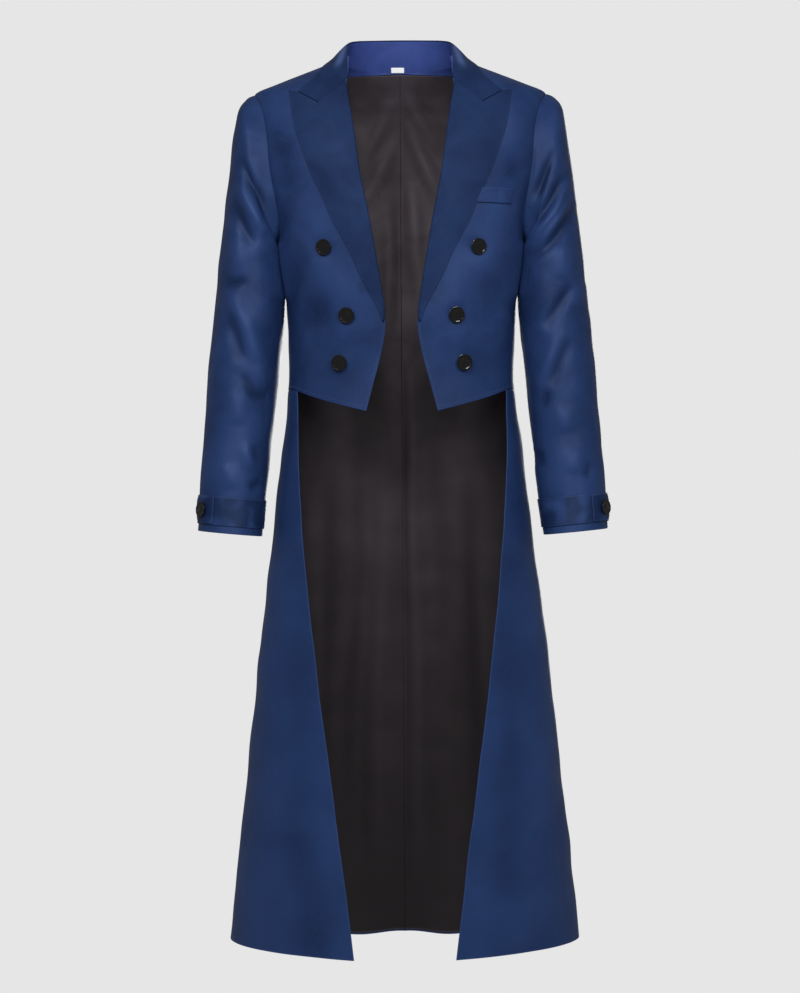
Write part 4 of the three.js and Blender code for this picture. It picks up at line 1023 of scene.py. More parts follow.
def woven(name, slot, face, deep, worn_and_sheen, gleam, crest, line_pitch, slant, sheen, roughness, relief, seam_dark_and_shade,
          painted_shade_to_hem=0.0, painted_hollow_shade=0.55, painted_crest_highlight=0.25):
    """A cloth, as its finish and its slot, whose face shows slanting weave lines. Its colours are its face,
    its deeper patches, the painted shade of its fold hollows, and its seams, darkened partly as a dark joint
    and partly as painted shade; worn_and_sheen, its lighter threads and its turned edges, lighter partly from
    wear and partly as a painted highlight; gleam, the tint of its highlights; and crest, a painted highlight
    on the crests of its folds. Real lines are
    finer than a millimetre: they are drawn line_pitch millimetres apart, as coarse as they need to be to
    show.
    painted_hollow_shade and painted_crest_highlight say how far folds change its colour, as painted shade and
    highlight."""
    finish, tree = new_finish(name)
    along = node(tree, "UVMap", {"uv_map": "cloth"}).outputs["UV"]
    rows = []
    for turn in (slant, slant - CROSSING):
        turned = {"Rotation": (0, 0, math.radians(turn)), "Scale": TO_MM}
        turned = node(tree, "Mapping", turned, {"Vector": along})
        rows.append(node(tree, "TexWave", {
            "wave_type": "BANDS",
            "bands_direction": "X",
            "wave_profile": "SIN",
            "Scale": WAVE_SCALE / line_pitch,
            "Distortion": 0.8,
            "Detail": 1.0,
            "Detail Scale": 0.3,
        }, {"Vector": turned.outputs["Vector"]}).outputs["Fac"])
    fainter = {"operation": "MULTIPLY_ADD", 1: 0.45}
    lines = node(tree, "Math", fainter, {0: rows[1], 2: rows[0]}).outputs["Value"]
    stretched = node(tree, "Mapping", {"Scale": THREADS}, {"Vector": along}).outputs["Vector"]
    slubs = {"Scale": 1.0, "Detail": 2.0, "Roughness": 0.6}
    threads = node(tree, "TexNoise", slubs, {"Vector": stretched}).outputs["Fac"]
    place = node(tree, "TexCoord").outputs["Object"]
    cloudy = {"Scale": CLOUDS, "Detail": 4.0, "Roughness": 0.5, "Distortion": 0.5}
    clouds = node(tree, "TexNoise", cloudy, {"Vector": place}).outputs["Fac"]
    level = node(tree, "SeparateXYZ", {}, {0: place}).outputs["Z"]
    # The deeper patches fade out below the waist
    even = node(tree, "MapRange", {1: -0.6, 2: -0.4, 3: 0.62, 4: 0.0}, {0: level}).outputs[0]
    rise, seam, edge = (
        node(tree, "Attribute", {"attribute_name": mark}).outputs["Fac"] for mark in ("rise", "seam", "edge")
    )
    base = layered(
        tree, deep,
        (clouds, ((0.34, 0.0), (0.66, 1.0)), face),
        (even, None, face),
        # Painted shade in the hollows of folds, and a painted highlight on their crests, both read from the
        # rise mark
        (rise, ((0.1, painted_hollow_shade), (0.5, 0.0)), deep, "MULTIPLY"),
        (rise, ((0.5, 0.0), (0.9, painted_crest_highlight)), crest),
        (threads, ((0.3, 0.0), (0.7, 0.10)), worn_and_sheen),
        (lines, ((0.4, 0.0), (1.0, 0.05)), worn_and_sheen),
    )
    # Painted shade: the lining is darkened by level, most toward the hem
    if painted_shade_to_hem:
        height = node(tree, "MapRange", {1: -SHADE_DEPTH, 2: 0.0, 3: 0.0, 4: 1.0}, {0: level}).outputs[0]
        down = [(1 + z / SHADE_DEPTH, share * painted_shade_to_hem) for z, share in LINING_SHADE]
        base = layered(tree, base, (height, down, "#000000"))
    base = layered(
        # Seams darkened, partly as a dark joint and partly as painted shade in their groove
        tree, base,
        (seam, ((0.2, 0.0), (1.0, seam_dark_and_shade)), deep, "MULTIPLY"),
        # Turned edges lightened, partly as wear and partly as a painted highlight
        (edge, ((0.2, 0.0), (1.0, 0.22)), worn_and_sheen),
    )
    lower = {"operation": "MULTIPLY_ADD", 1: 0.3}
    height = node(tree, "Math", lower, {0: threads, 2: lines}).outputs["Value"]
    bump = node(tree, "Bump", {"Strength": relief, "Distance": 0.5 * MM}, {"Height": height})
    rough = {"stops": ((0.3, roughness + 0.05), (0.7, roughness - 0.04))}
    rough = node(tree, "ValToRGB", rough, {"Fac": clouds})
    shader = node(tree, "BsdfPrincipled", {
        "Specular IOR Level": 0.24,
        "Specular Tint": gleam,
        "Sheen Weight": sheen,
        "Sheen Roughness": 0.5,
        "Sheen Tint": worn_and_sheen,
    }, {"Base Color": base, "Roughness": rough.outputs["Color"], "Normal": bump.outputs["Normal"]})
    node(tree, "OutputMaterial", {}, {"Surface": shader.outputs["BSDF"]})
    return finish, slot


# Polyester twill with a satin face, pressed: its slanting floats give a soft, wide gleam on every bend
SATIN_TWILL = woven(
    "satin_faced_polyester_twill", "satin_twill",
    face="#21355e", deep="#17284c", worn_and_sheen="#384e81", gleam="#a9bbea", crest="#3a5084",
    line_pitch=3.6, slant=40, sheen=0.03, roughness=0.44, relief=0.02, seam_dark_and_shade=0.32,
)
# The same twill laid across its grain on lapels and collar, painted darker as shade where less of its gleam
# turns to the front, and with a stronger painted highlight on its crests
LAPEL_TWILL = woven(
    "satin_faced_twill_painted_darker", "satin_twill",
    face="#1a2b4d", deep="#13213e", worn_and_sheen="#2e4170", gleam="#7f95d0", crest="#4f67a2",
    line_pitch=3.0, slant=-40, sheen=0.02, roughness=0.50, relief=0.008, seam_dark_and_shade=0.35, painted_crest_highlight=0.6,
)
# The same twill cut on another grain for the inside of the collar, painted lighter as light, and more violet,
# where it looks so
COLLAR_TWILL = woven(
    "satin_faced_twill_painted_lighter", "collar_twill",
    face="#334482", deep="#293870", worn_and_sheen="#4a5a96", gleam="#a9b4ea", crest="#4a5a96",
    line_pitch=3.6, slant=25, sheen=0.03, roughness=0.44, relief=0.02, seam_dark_and_shade=0.3,
)
# Acetate lining satin, woven fine and calendered: near black, with a faint brown gleam
LINING_SATIN = woven(
    "calendered_lining_satin", "lining_satin",
    face="#524b52", deep="#423d43", worn_and_sheen="#6a6167", gleam="#cfc4c6", crest="#6a6167",
    line_pitch=3.0, slant=88, sheen=0.05, roughness=0.46, relief=0.02, seam_dark_and_shade=0.05, painted_shade_to_hem=0.77,
    painted_hollow_shade=0.35,
)


def polished_resin():
    """Cast polyester button resin, turned and tumbled to a gloss: black, with small sharp reflections."""
    finish, tree = new_finish("tumbled_black_polyester_resin")
    place = node(tree, "TexCoord").outputs["Object"]
    # Haze in patches about 4 mm wide, and polishing marks of about 1 mm
    haze = node(tree, "TexNoise", {"Scale": 260.0, "Detail": 3.0}, {"Vector": place}).outputs["Fac"]
    wear = node(tree, "TexNoise", {"Scale": 900.0, "Detail": 2.0}, {"Vector": place}).outputs["Fac"]
    base = layered(tree, "#08080a", (haze, ((0.35, 0.0), (0.7, 1.0)), "#111113"))
    rough = node(tree, "ValToRGB", {"stops": ((0.3, 0.06), (0.75, 0.13))}, {"Fac": wear})
    bump = node(tree, "Bump", {"Strength": 0.05, "Distance": 0.2 * MM}, {"Height": wear})
    shader = node(tree, "BsdfPrincipled", {"IOR": 1.54, "Specular IOR Level": 0.5}, {
        "Base Color": base,
        "Roughness": rough.outputs["Color"],
        "Normal": bump.outputs["Normal"],
    })
    node(tree, "OutputMaterial", {}, {"Surface": shader.outputs["BSDF"]})
    return finish


def woven_tape():
    """Bleached polyester label tape, plain woven and heat cut: matt white with a fine cross rib."""
    finish, tree = new_finish("bleached_woven_label_tape")
    place = node(tree, "TexCoord").outputs["Object"]
    # The ribs lie 1.2 mm apart
    rib = {"bands_direction": "Z", "Scale": 260.0, "Distortion": 0.3}
    ribs = node(tree, "TexWave", rib, {"Vector": place}).outputs["Fac"]
    base = layered(tree, "#e9ebee", (ribs, ((0.0, 0.0), (1.0, 1.0)), "#fbfbfb"))
    bump = node(tree, "Bump", {"Strength": 0.2, "Distance": 0.2 * MM}, {"Height": ribs}).outputs["Normal"]
    matt = {"Roughness": 0.8, "Sheen Weight": 0.1}
    shader = node(tree, "BsdfPrincipled", matt, {"Base Color": base, "Normal": bump})
    node(tree, "OutputMaterial", {}, {"Surface": shader.outputs["BSDF"]})
    return finish


def spun_thread():
    """Spun polyester sewing thread, dyed to match: matt, a shade lighter than the cloth it sinks into."""
    finish, tree = new_finish("dyed_spun_sewing_thread")
    place = node(tree, "TexCoord").outputs["Object"]
    # The turns of its twist lie 0.35 mm apart
    twist = node(tree, "TexWave", {"bands_direction": "DIAGONAL", "Scale": 900.0}, {"Vector": place})
    base = layered(tree, "#22345c", (twist.outputs["Fac"], ((0.0, 0.0), (1.0, 1.0)), "#3a4d7c"))
    shader = node(tree, "BsdfPrincipled", {"Roughness": 0.7, "Sheen Weight": 0.2}, {"Base Color": base})
    node(tree, "OutputMaterial", {}, {"Surface": shader.outputs["BSDF"]})
    return finish


RESIN = polished_resin()
TAPE = woven_tape()
THREAD = spun_thread()


# ---------------------------------------------------------------- fronts, backs and tails

SIDES = {"left": 1, "right": -1}
SKIRT_STEP = 6
# The tail's top turns in under the waist seam
TAIL_TUCK = {"reach": 3.5, "depth": 0.6, "ease": 3}
# Painted light on the fronts: patches painted lighter as a crest's highlight, or darker as a hollow's shade:
# middle, half size and rise
PAINTED_LIGHT_PATCHES = [
    (150, -269, 34, 75, 5.0),
    (148, -110, 36, 50, 2.6),
    (-133, -415, 46, 62, -2.6),
    (-150, -215, 26, 40, 2.0),
]


def pressed(points, side):
    """How much the fronts' patches of painted light and shade add to the rise that colours the cloth."""
    real = mirrored(points, side)
    total = np.zeros(points.shape[:-1])
    for x, z, half_width, half_height, rise in PAINTED_LIGHT_PATCHES:
        total += rise * mound((real[..., 0] - x) / half_width, (real[..., 2] - z) / half_height)
    return total


BODY = {
    "front": (front_grid(), ("first", "bottom"), ("top", "last")),
    "back": (
        back_grid(np.concatenate([FINE_BODY, WAIST - spread(WAIST - HEM, SKIRT_STEP)]), BODY_STEP),
        ("bottom",), ("top", "first", "last"),
    ),
    "tail": (tail_grid(SKIRT_STEP, BODY_STEP), ("last", "bottom"), ("top", "first")),
}
fronts = {}
for word, side in SIDES.items():
    for part, (grid, free, seams) in BODY.items():
        # rise, the folds' height, paints shade into their hollows and highlight onto their crests; on the
        # fronts the patches of painted light add to it
        rise = body_relief(grid, side)
        placed = grid + grid_normals(grid, from_axis(grid)) * rise[..., None]
        if part == "front":
            fronts[word] = placed
            rise = rise + pressed(grid, side)
        if part == "tail":
            placed = tucked_under(placed, grid_normals(placed, from_axis(placed)), **TAIL_TUCK)
            rise = np.concatenate([rise[:1], rise])
        cloth_piece(f"{part}_cloth_{word}", f"{part}_{word}", SATIN_TWILL, placed, free=free, seams=seams,
                    side=side, rise=rise)


# ---------------------------------------------------------------- linings

LINING_INSET = 3
LINING_SOFT = 0.15
LINING_STEP, LINING_DOWN = 6.5, 7
# A lining's slack, and how far from its seams and its top it comes free
SLACK = {"size": 60, "height": 1.4, "seed": 3.0}
HELD_AT_SEAMS, HELD_AT_TOP = 14, 16
# The tail's lining goes in deeper at its top, clear of the turned waist seam
TAIL_LINING_DIP, LINING_DIP_EASE = 1.9, 9


def lining_levels():
    """Levels of the lining's rows: the back's own below the neck facing, ending short of the hem."""
    return np.concatenate([
        LINING_TOP["side"] - spread(LINING_TOP["side"] - SHOULDER, ROW_STEP)[:-1],
        FINE_BODY[FINE_BODY <= SHOULDER],
        WAIST - spread(WAIST - HEM - LINING_INSET, LINING_DOWN)[1:],
    ])


def lining_raised(side):
    """The top of the lining dips less at the centre than the neck does: how far that lifts a row there."""
    lifted = LINING_TOP["centre"] - LINING_TOP["side"] + (NECK - BACK_NECK) * LINING_TOP["neck_share"]
    return lifted * max(0.0, 1 - (LINING_TOP["side"] - side) / LINING_TOP["ease"]) ** 2


def hung_inside(grid, side, folds, top_dip=0.0):
    """A lining's grid inside the shell, and its loose folds. It follows the shell's own folds, and the loose
    ones stand further in."""
    out = grid_normals(grid, from_axis(grid))
    real = mirrored(grid, side)
    loose = np.maximum(0, folded(real[..., 0], real[..., 2], folds)) + np.abs(uneven(real, **SLACK))
    distances = edge_distances(grid)
    loose = loose * (1 - near(np.minimum(distances["first"], distances["last"]), HELD_AT_SEAMS))
    loose = loose * (1 - near(distances["top"], HELD_AT_TOP))
    inward = LINING_DEPTH + top_dip * near(distances["top"], LINING_DIP_EASE) + loose
    return grid + out * (body_relief(grid, side) - inward)[..., None], loose


LINING_BACK = back_grid(lining_levels(), LINING_STEP, lining_raised)
LINING_TAIL = tail_grid(LINING_DOWN, LINING_STEP, LINING_INSET)
for word, side in SIDES.items():
    placed, loose = hung_inside(LINING_BACK, side, LINING_FOLDS)
    # The lining's loose folds take a painted highlight, and where it lies close it takes painted shade
    cloth_piece(f"lining_back_cloth_{word}", f"lining_back_{word}", LINING_SATIN, placed, thickness=LINING,
                held="hung", rests_on=(f"back_cloth_{word}",), free=("top", "bottom"),
                seams=("first", "last"), side=side, soft=LINING_SOFT, rise=loose - 1)
    placed, _ = hung_inside(LINING_TAIL, side, [], TAIL_LINING_DIP)
    cloth_piece(f"lining_tail_cloth_{word}", f"lining_tail_{word}", LINING_SATIN, placed, thickness=LINING,
                held="hung", rests_on=(f"tail_cloth_{word}",), free=("last", "bottom"),
                seams=("top", "first"), side=side, soft=LINING_SOFT)


# ---------------------------------------------------------------- lapels and collar

STAND_SOFT, FALL_SOFT = 0.4, 0.9
# A painted highlight streak on the bend of the roll, leaving the roll line toward the front. Along Y it
# drifts off from one place over a length, fades behind another, and fades out in front over its ease
FALL_PAINTED_HIGHLIGHT = {
    "rise": 6, "half": 6, "off_roll": 9, "drift": 10, "drifts_from": 10, "drifts_over": 70,
    "behind": 30, "front": -40, "ease": 26,
}

for word, side in SIDES.items():
    cloth_piece(f"lapel_cloth_{word}", f"lapel_{word}", LAPEL_TWILL, lapel_grid(side), held="folded",
                rests_on=(f"front_cloth_{word}",), free=("last",), seams=("top",), side=side)

stand = stand_grid()
cloth_piece("collar_stand_cloth", "collar_stand", COLLAR_TWILL, stand, thickness=COLLAR_CLOTH, held="folded",
            rests_on=("back_cloth_left", "back_cloth_right"), free=("top",), soft=STAND_SOFT)
fall = fall_grid()
# The fall's rise paints the highlight streak along the roll
y = fall[..., 1]
drift = FALL_PAINTED_HIGHLIGHT["drift"] * np.clip((FALL_PAINTED_HIGHLIGHT["drifts_from"] - y) / FALL_PAINTED_HIGHLIGHT["drifts_over"], 0, 1)
off_streak = edge_distances(fall)["top"] - FALL_PAINTED_HIGHLIGHT["off_roll"] - drift
rise = FALL_PAINTED_HIGHLIGHT["rise"] * mound(off_streak / FALL_PAINTED_HIGHLIGHT["half"])
rise = rise * near(np.maximum(0, y), FALL_PAINTED_HIGHLIGHT["behind"])
rise = rise * near(np.maximum(0, FALL_PAINTED_HIGHLIGHT["front"] - y), FALL_PAINTED_HIGHLIGHT["ease"])
cloth_piece("collar_fall_cloth", "collar_fall", LAPEL_TWILL, fall, thickness=COLLAR_CLOTH, held="folded",
            rests_on=("collar_stand_cloth",), free=("bottom",), soft=FALL_SOFT, rise=rise)


# ---------------------------------------------------------------- sleeves and cuffs

SLEEVE_ANGLES = {"top_sleeve": (-114, 138), "under_sleeve": (138, 246)}
SLEEVE_FOLDS = {
    "left": (LEFT_SLEEVE_FOLDS, LEFT_SLEEVE_BACK_FOLDS),
    "right": (RIGHT_SLEEVE_FOLDS, RIGHT_SLEEVE_BACK_FOLDS),
}
# Inward of these, in X, a sleeve bulges against the body, and rolls over at the armhole seam
BULGE_X, ROLL_X = 200, 215
ARMPIT_TOP = ARMHOLE_BOTTOM + 20
# The head goes in under the body's edge, and its folds begin some way below its seam
SET_IN = {"dip": 1.35, "ease": 0.9, "deeper": 0.6, "reach": 3.4, "calm": 18}
# The sleeve's head falls away from the shoulder a little below its seam
HEAD = {"slack": 2.7, "below": 19, "width": 11, "level": -62, "ease": 40}
BAND_LIFT, BAND_HEIGHT, BAND_PLACES = 0.4, 44, 96
# Places of the tab's tip, shoulder and end, in degrees round the wrist, and the tab's width and length
TAB_TIP, TAB_TIP_SLANT, TAB_SHOULDER, TAB_END = 4, 7, 20, 62
TAB_WIDTH, TAB_LENGTH, TAB_HEIGHT_SHARE, TAB_TIP_SHARE = 40, 55, 0.94, 0.55
# Painted shade on the cuffs: its patches, and how much darker than the sleeve they are painted
CUFF_SHADE_PATCHES, CUFF_PAINTED_SHADE = {"size": 22, "height": 12.0, "seed": 2.0}, 3.8


def sleeve_axis(grid):
    """Middle of the sleeve beside each place of a grid."""
    z = grid[..., 2]
    row = np.interp(-z, -(SLEEVE["outZ"] + SLEEVE["inZ"]) / 2, SLEEVE["row"])
    outer, inner, y = (at(SLEEVE, name, row, by="row") for name in ("outX", "inX", "y"))
    return np.stack([(outer + inner) / 2, y, z], -1)


def sleeve_relief(points, word):
    """How far a sleeve's cloth stands off its form, at places of the left sleeve."""
    real = mirrored(points, SIDES[word])
    x, y, z = np.moveaxis(real, -1, 0)
    ahead = half_ahead(y - at(SLEEVE, "y", z, by="outZ"), SLEEVE_TURN)
    front_folds, back_folds = SLEEVE_FOLDS[word]
    lift = folded(x, z, front_folds) * ahead + folded(x, z, back_folds) * (1 - ahead)
    for waves in SLEEVE_WAVES:
        lift = lift + uneven(real, *waves)
    return lift * (1 - (np.abs(x) < BULGE_X) * near(np.hypot(z - UNDERARM["z"], y), UNDERARM["calm"]))


def sleeve_shell(grid, word):
    """A sleeve piece with its folds, and their rise for painted shade in hollows and highlight on crests."""
    out = grid_normals(grid, grid - sleeve_axis(grid))
    top = edge_distances(grid)["top"]
    x, y, z = np.moveaxis(grid, -1, 0)
    lift = sleeve_relief(grid, word) * (1 - near(top, SET_IN["calm"]))
    rise = np.concatenate([lift[:1], lift])
    high = near(np.maximum(0, HEAD["level"] - z), HEAD["ease"])
    lift = lift - HEAD["slack"] * high * mound((top - HEAD["below"]) / HEAD["width"])
    armpit = ARMPIT["height"] * mound((z - ARMPIT["z"]) / ARMPIT["half"], y / ARMPIT["width"])
    bulges = (x < BULGE_X) & (z < ARMPIT_TOP)
    lift = lift + (under_arm(y, z) + armpit) * bulges * (1 - near(top, ARMPIT["seam"]))
    lift = lift + armpit_roll(y, z) * (x < ROLL_X) * (1 - near(top, ARMPIT_ROLL["seam"]))
    # The turned edge dips below the armhole's edge, and goes on under the body's cloth all round
    seam = grid[0]
    square = form_normal(seam[:, 2], angle_at_y(seam[:, 2], seam[:, 1]))
    onward = (seam - (0, 0, ARMHOLE_MIDDLE)) * (0, 1, 1)
    onward = unit(onward - square * np.sum(onward * square, -1, keepdims=True))
    placed = grid + out * lift[..., None] - square * (SET_IN["dip"] * near(top, SET_IN["ease"]))[..., None]
    first = placed[0] - square * SET_IN["deeper"] + onward * SET_IN["reach"]
    return np.concatenate([first[None], placed]), rise


def off_sleeve(grid, word, off, closed=False):
    """A grid of the sleeve's form, moved out by the sleeve's folds and off its cloth."""
    out = grid_normals(grid, grid - sleeve_axis(grid), closed)
    return grid + out * (sleeve_relief(grid, word) + off)[..., None]


def band_grid(word):
    """The cuff band, a ring over the foot of the sleeve."""
    angles = np.radians(np.linspace(0, 360, BAND_PLACES + 1)[:-1])
    rows = CUFF_TOP + (CUFF_FOOT - CUFF_TOP) * shares_of(BAND_HEIGHT, SMALL_STEP)
    return off_sleeve(sleeve_point(rows[:, None], angles[None, :]), word, BAND_LIFT + CLOTH, closed=True)


def tab_grid(word):
    """The tab over the band, from its pointed tip at the outside of the wrist to its end on the front."""
    middle, half = (CUFF_TOP + CUFF_FOOT) / 2, (CUFF_FOOT - CUFF_TOP) / 2 * TAB_HEIGHT_SHARE
    across = 2 * shares_of(TAB_WIDTH, SMALL_STEP) - 1
    along = shares_of(TAB_LENGTH, SMALL_STEP)
    start = TAB_TIP + TAB_TIP_SLANT * np.abs(across)
    angle = start[:, None] + (TAB_END - start[:, None]) * along[None, :]
    corner = TAB_TIP + TAB_TIP_SLANT + (TAB_END - TAB_TIP - TAB_TIP_SLANT) * along
    narrow = np.interp(corner, [TAB_TIP + TAB_TIP_SLANT, TAB_SHOULDER], [TAB_TIP_SHARE, 1])
    row = middle + half * across[:, None] * narrow[None, :]
    return off_sleeve(sleeve_point(row, np.radians(angle)), word, (BAND_LIFT + CLOTH) * 2)


def cuff_painted_shade(points, side):
    """The cuffs' stiff double cloth, painted patchy and darker than the sleeve as shade."""
    return uneven(mirrored(points, side), **CUFF_SHADE_PATCHES) - CUFF_PAINTED_SHADE


for word, side in SIDES.items():
    for part, angles in SLEEVE_ANGLES.items():
        placed, rise = sleeve_shell(sleeve_grid(*angles), word)
        cloth_piece(f"{part}_cloth_{word}", f"{part}_{word}", SATIN_TWILL, placed,
                    placed - sleeve_axis(placed), free=("bottom",), seams=("top", "first", "last"), side=side,
                    rise=rise)

for word, side in SIDES.items():
    placed = band_grid(word)
    cloth_piece(f"cuff_band_cloth_{word}", f"cuff_{word}", SATIN_TWILL, placed, placed - sleeve_axis(placed),
                rests_on=(f"top_sleeve_cloth_{word}",), free=("top", "bottom"), closed=True, side=side,
                rise=cuff_painted_shade(placed, side))
    placed = tab_grid(word)
    cloth_piece(f"cuff_tab_cloth_{word}", f"cuff_tab_{word}", SATIN_TWILL, placed,
                placed - sleeve_axis(placed), held="laid", rests_on=(f"cuff_band_cloth_{word}",),
                free=("top", "bottom", "first", "last"), side=side, rise=cuff_painted_shade(placed, side))


# ---------------------------------------------------------------- welt and label

WELT = columns("share inner outer z", (0, 112, 162.5, -187.5), (1, 99, 160.5, -209.5))
WELT_HEIGHT, WELT_LENGTH, WELT_STEPS = 22, 55, (3.5, 4.5)
WELT_LIFT, WELT_GAPE = 0.9, 1.2
# A painted highlight on the welt, stronger near its outer end
WELT_PAINTED_HIGHLIGHT = {"rise": 1.5, "more": 4, "x": 148, "half": 4}
LABEL = {"off": 0.6, "thickness": 0.6, "soft": 0.3, "wave": 0.25, "across": 25, "down": 13}


def welt_grid():
    """The welt of the breast pocket, on the left front."""
    rows, across = shares_of(WELT_HEIGHT, WELT_STEPS[0]), shares_of(WELT_LENGTH, WELT_STEPS[1])
    inner, outer, z = (np.interp(rows, WELT["share"], WELT[k])[:, None] for k in ("inner", "outer", "z"))
    x = inner + (outer - inner) * across
    z = np.broadcast_to(z, x.shape)
    angle = angle_at_x(z, x)
    grid, out = form_point(z, angle), form_normal(z, angle)
    # The mouth of the pocket stands a little open in the middle of the welt's top edge
    gape = WELT_GAPE * (1 - rows[:, None]) ** 3 * np.sin(math.pi * across)[None, :]
    return grid + out * (body_relief(grid, 1) + WELT_LIFT + CLOTH + gape)[..., None]


def label_grid():
    """The label, standing just off the inner face of the stand at the centre back."""
    low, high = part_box("neck_label")
    x = np.linspace(low.x, high.x, LABEL["across"]) / MM
    z = np.linspace(high.z, low.z, LABEL["down"]) / MM
    behind = stand[:, stand.shape[1] // 2]
    y = np.interp(z, behind[:, 2], behind[:, 1]) - COLLAR_CLOTH - LABEL["off"]
    y = y[:, None] - LABEL["wave"] * np.sin(np.linspace(0, 2 * math.pi, LABEL["across"]))[None, :]
    return np.stack(np.broadcast_arrays(x[None, :], y, z[:, None]), -1)


placed = welt_grid()
from_painted_highlight = (placed[..., 0] - WELT_PAINTED_HIGHLIGHT["x"]) / WELT_PAINTED_HIGHLIGHT["half"]
rise = WELT_PAINTED_HIGHLIGHT["rise"] + WELT_PAINTED_HIGHLIGHT["more"] * mound(from_painted_highlight)
cloth_piece("breast_welt_cloth", "breast_welt", SATIN_TWILL, placed, held="laid",
            rests_on=("front_cloth_left",), free=("top", "first", "last"), seams=("bottom",), rise=rise)
tape = sheet_mesh("neck_label_tape", label_grid(), np.array((0, 1, 0.0)), LABEL["thickness"],
                  free=("top", "bottom"), soft=LABEL["soft"])
tape.data.materials.append(TAPE)
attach(tape, "root")
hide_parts("neck_label")


# ---------------------------------------------------------------- buttons

FRONT_BUTTON, CUFF_BUTTON = 12, 11
# How far the buttons stand off the form of the front, and off the tab's cloth
FRONT_BUTTON_OFF, CUFF_BUTTON_OFF = 0.3, 0.2
CUFF_BUTTON_ANGLE = 38
# The blank is a disc whose underside is narrower than its rim by the flare. It stands on a shank
BLANK = {"flare": 2, "thickness": 1.4, "level": 2.9, "sides": 64}
SHANK = {"radius": 4.4, "step": 0.8, "length": 2.2}
# The rim goes up and in, over a rounded crest, and down into the dish, as rises and insets
RIM = ((1.1, 0.25), (0.7, 0.95), (0.0, 0.9), (-0.75, 0.9), (-0.1, 1.1))
# The dish domes slightly, in rises that each take this share of the radius
DOME, DOME_SHARE = (0.35, 0.2, 0.1), 0.18
# Its edges sharper than one angle are rounded off, and it is shaded smooth up to the other
BUTTON_EDGE = {"width": 0.22, "sharp": 28, "smooth": 45}
# A face looks up or down where its normal's Z is past this
UPRIGHT = 0.9


def in_edit_mode(piece):
    """Selects one piece alone, and starts to edit its faces."""
    bpy.ops.object.select_all(action="DESELECT")
    piece.select_set(True)
    bpy.context.view_layer.objects.active = piece
    bpy.ops.object.mode_set(mode="EDIT")
    bpy.ops.mesh.select_mode(type="FACE")


def select_faces(piece, wanted):
    """Selects the faces whose normal is as wanted."""
    bpy.ops.mesh.select_all(action="DESELECT")
    bpy.ops.object.mode_set(mode="OBJECT")
    for face in piece.data.polygons:
        face.select = wanted(face.normal)
    bpy.ops.object.mode_set(mode="EDIT")


def turned_button(name, radius):
    """A button with its face up: a disc with a raised rim and a dished, slightly domed middle, on a shank."""
    bpy.ops.object.select_all(action="DESELECT")
    narrow = radius - BLANK["flare"]
    bpy.ops.mesh.primitive_cylinder_add(
        vertices=BLANK["sides"], radius=narrow * MM, depth=BLANK["thickness"] * MM,
        location=(0, 0, BLANK["level"] * MM),
    )
    piece = bpy.context.object
    piece.name = name
    bpy.ops.object.transform_apply(location=True, rotation=True, scale=True)
    in_edit_mode(piece)
    select_faces(piece, lambda normal: normal.z > UPRIGHT)
    bpy.ops.transform.resize(value=(radius / narrow, radius / narrow, 1))
    for rise, inset in RIM:
        bpy.ops.mesh.extrude_region_move(TRANSFORM_OT_translate={"value": (0, 0, rise * MM)})
        bpy.ops.mesh.inset(thickness=inset * MM, depth=0)
    for rise in DOME:
        bpy.ops.mesh.inset(thickness=radius * DOME_SHARE * MM, depth=0)
        bpy.ops.transform.translate(value=(0, 0, rise * MM))
    select_faces(piece, lambda normal: normal.z < -UPRIGHT)
    bpy.ops.mesh.inset(thickness=(narrow - SHANK["radius"]) * MM, depth=0)
    bpy.ops.mesh.inset(thickness=SHANK["step"] * MM, depth=0)
    bpy.ops.mesh.extrude_region_move(TRANSFORM_OT_translate={"value": (0, 0, -SHANK["length"] * MM)})
    bpy.ops.mesh.select_all(action="SELECT")
    bpy.ops.mesh.remove_doubles(threshold=0.00001)
    bpy.ops.mesh.normals_make_consistent(inside=False)
    bpy.ops.object.mode_set(mode="OBJECT")
    bevel = piece.modifiers.new("rounded", "BEVEL")
    bevel.width = BUTTON_EDGE["width"] * MM
    bevel.segments = 2
    bevel.limit_method = "ANGLE"
    bevel.angle_limit = math.radians(BUTTON_EDGE["sharp"])
    bpy.ops.object.modifier_apply(modifier=bevel.name)
    bpy.ops.object.shade_smooth_by_angle(angle=math.radians(BUTTON_EDGE["smooth"]))
    piece.data.materials.append(RESIN)
    return piece


def seat_button(master, stands_for, place, out):
    """A copy of the button with its own mesh, standing on the cloth at place and facing out."""
    piece = master.copy()
    piece.data = master.data.copy()
    piece.name = f"{stands_for}_resin"
    bpy.context.scene.collection.objects.link(piece)
    turn = Vector((0, 0, 1)).rotation_difference(Vector(out))
    piece.data.transform(Matrix.Translation(Vector(place) * MM) @ turn.to_matrix().to_4x4())
    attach(piece, "root")
    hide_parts(stands_for)


front_button = turned_button("front_button", FRONT_BUTTON)
cuff_button = turned_button("cuff_button", CUFF_BUTTON)
for word, side in SIDES.items():
    for level, (x, z) in BUTTONS.items():
        angle = angle_at_x(z, x)
        out = form_normal(z, angle)
        place = form_point(z, angle) + out * FRONT_BUTTON_OFF
        seat_button(front_button, f"button_{level}_{word}", mirrored(place, side), mirrored(out, side))
    row, angle = (CUFF_TOP + CUFF_FOOT) / 2, math.radians(CUFF_BUTTON_ANGLE)
    out = sleeve_out(row, angle)
    place = sleeve_point(row, angle)
    lift = sleeve_relief(place[None], word)[0]
    place = place + out * (lift + (BAND_LIFT + CLOTH) * 2 + CUFF_BUTTON_OFF)
    seat_button(cuff_button, f"cuff_button_{word}", mirrored(place, side), mirrored(out, side))
for master in (front_button, cuff_button):
    bpy.data.objects.remove(master)


# ---------------------------------------------------------------- stitches

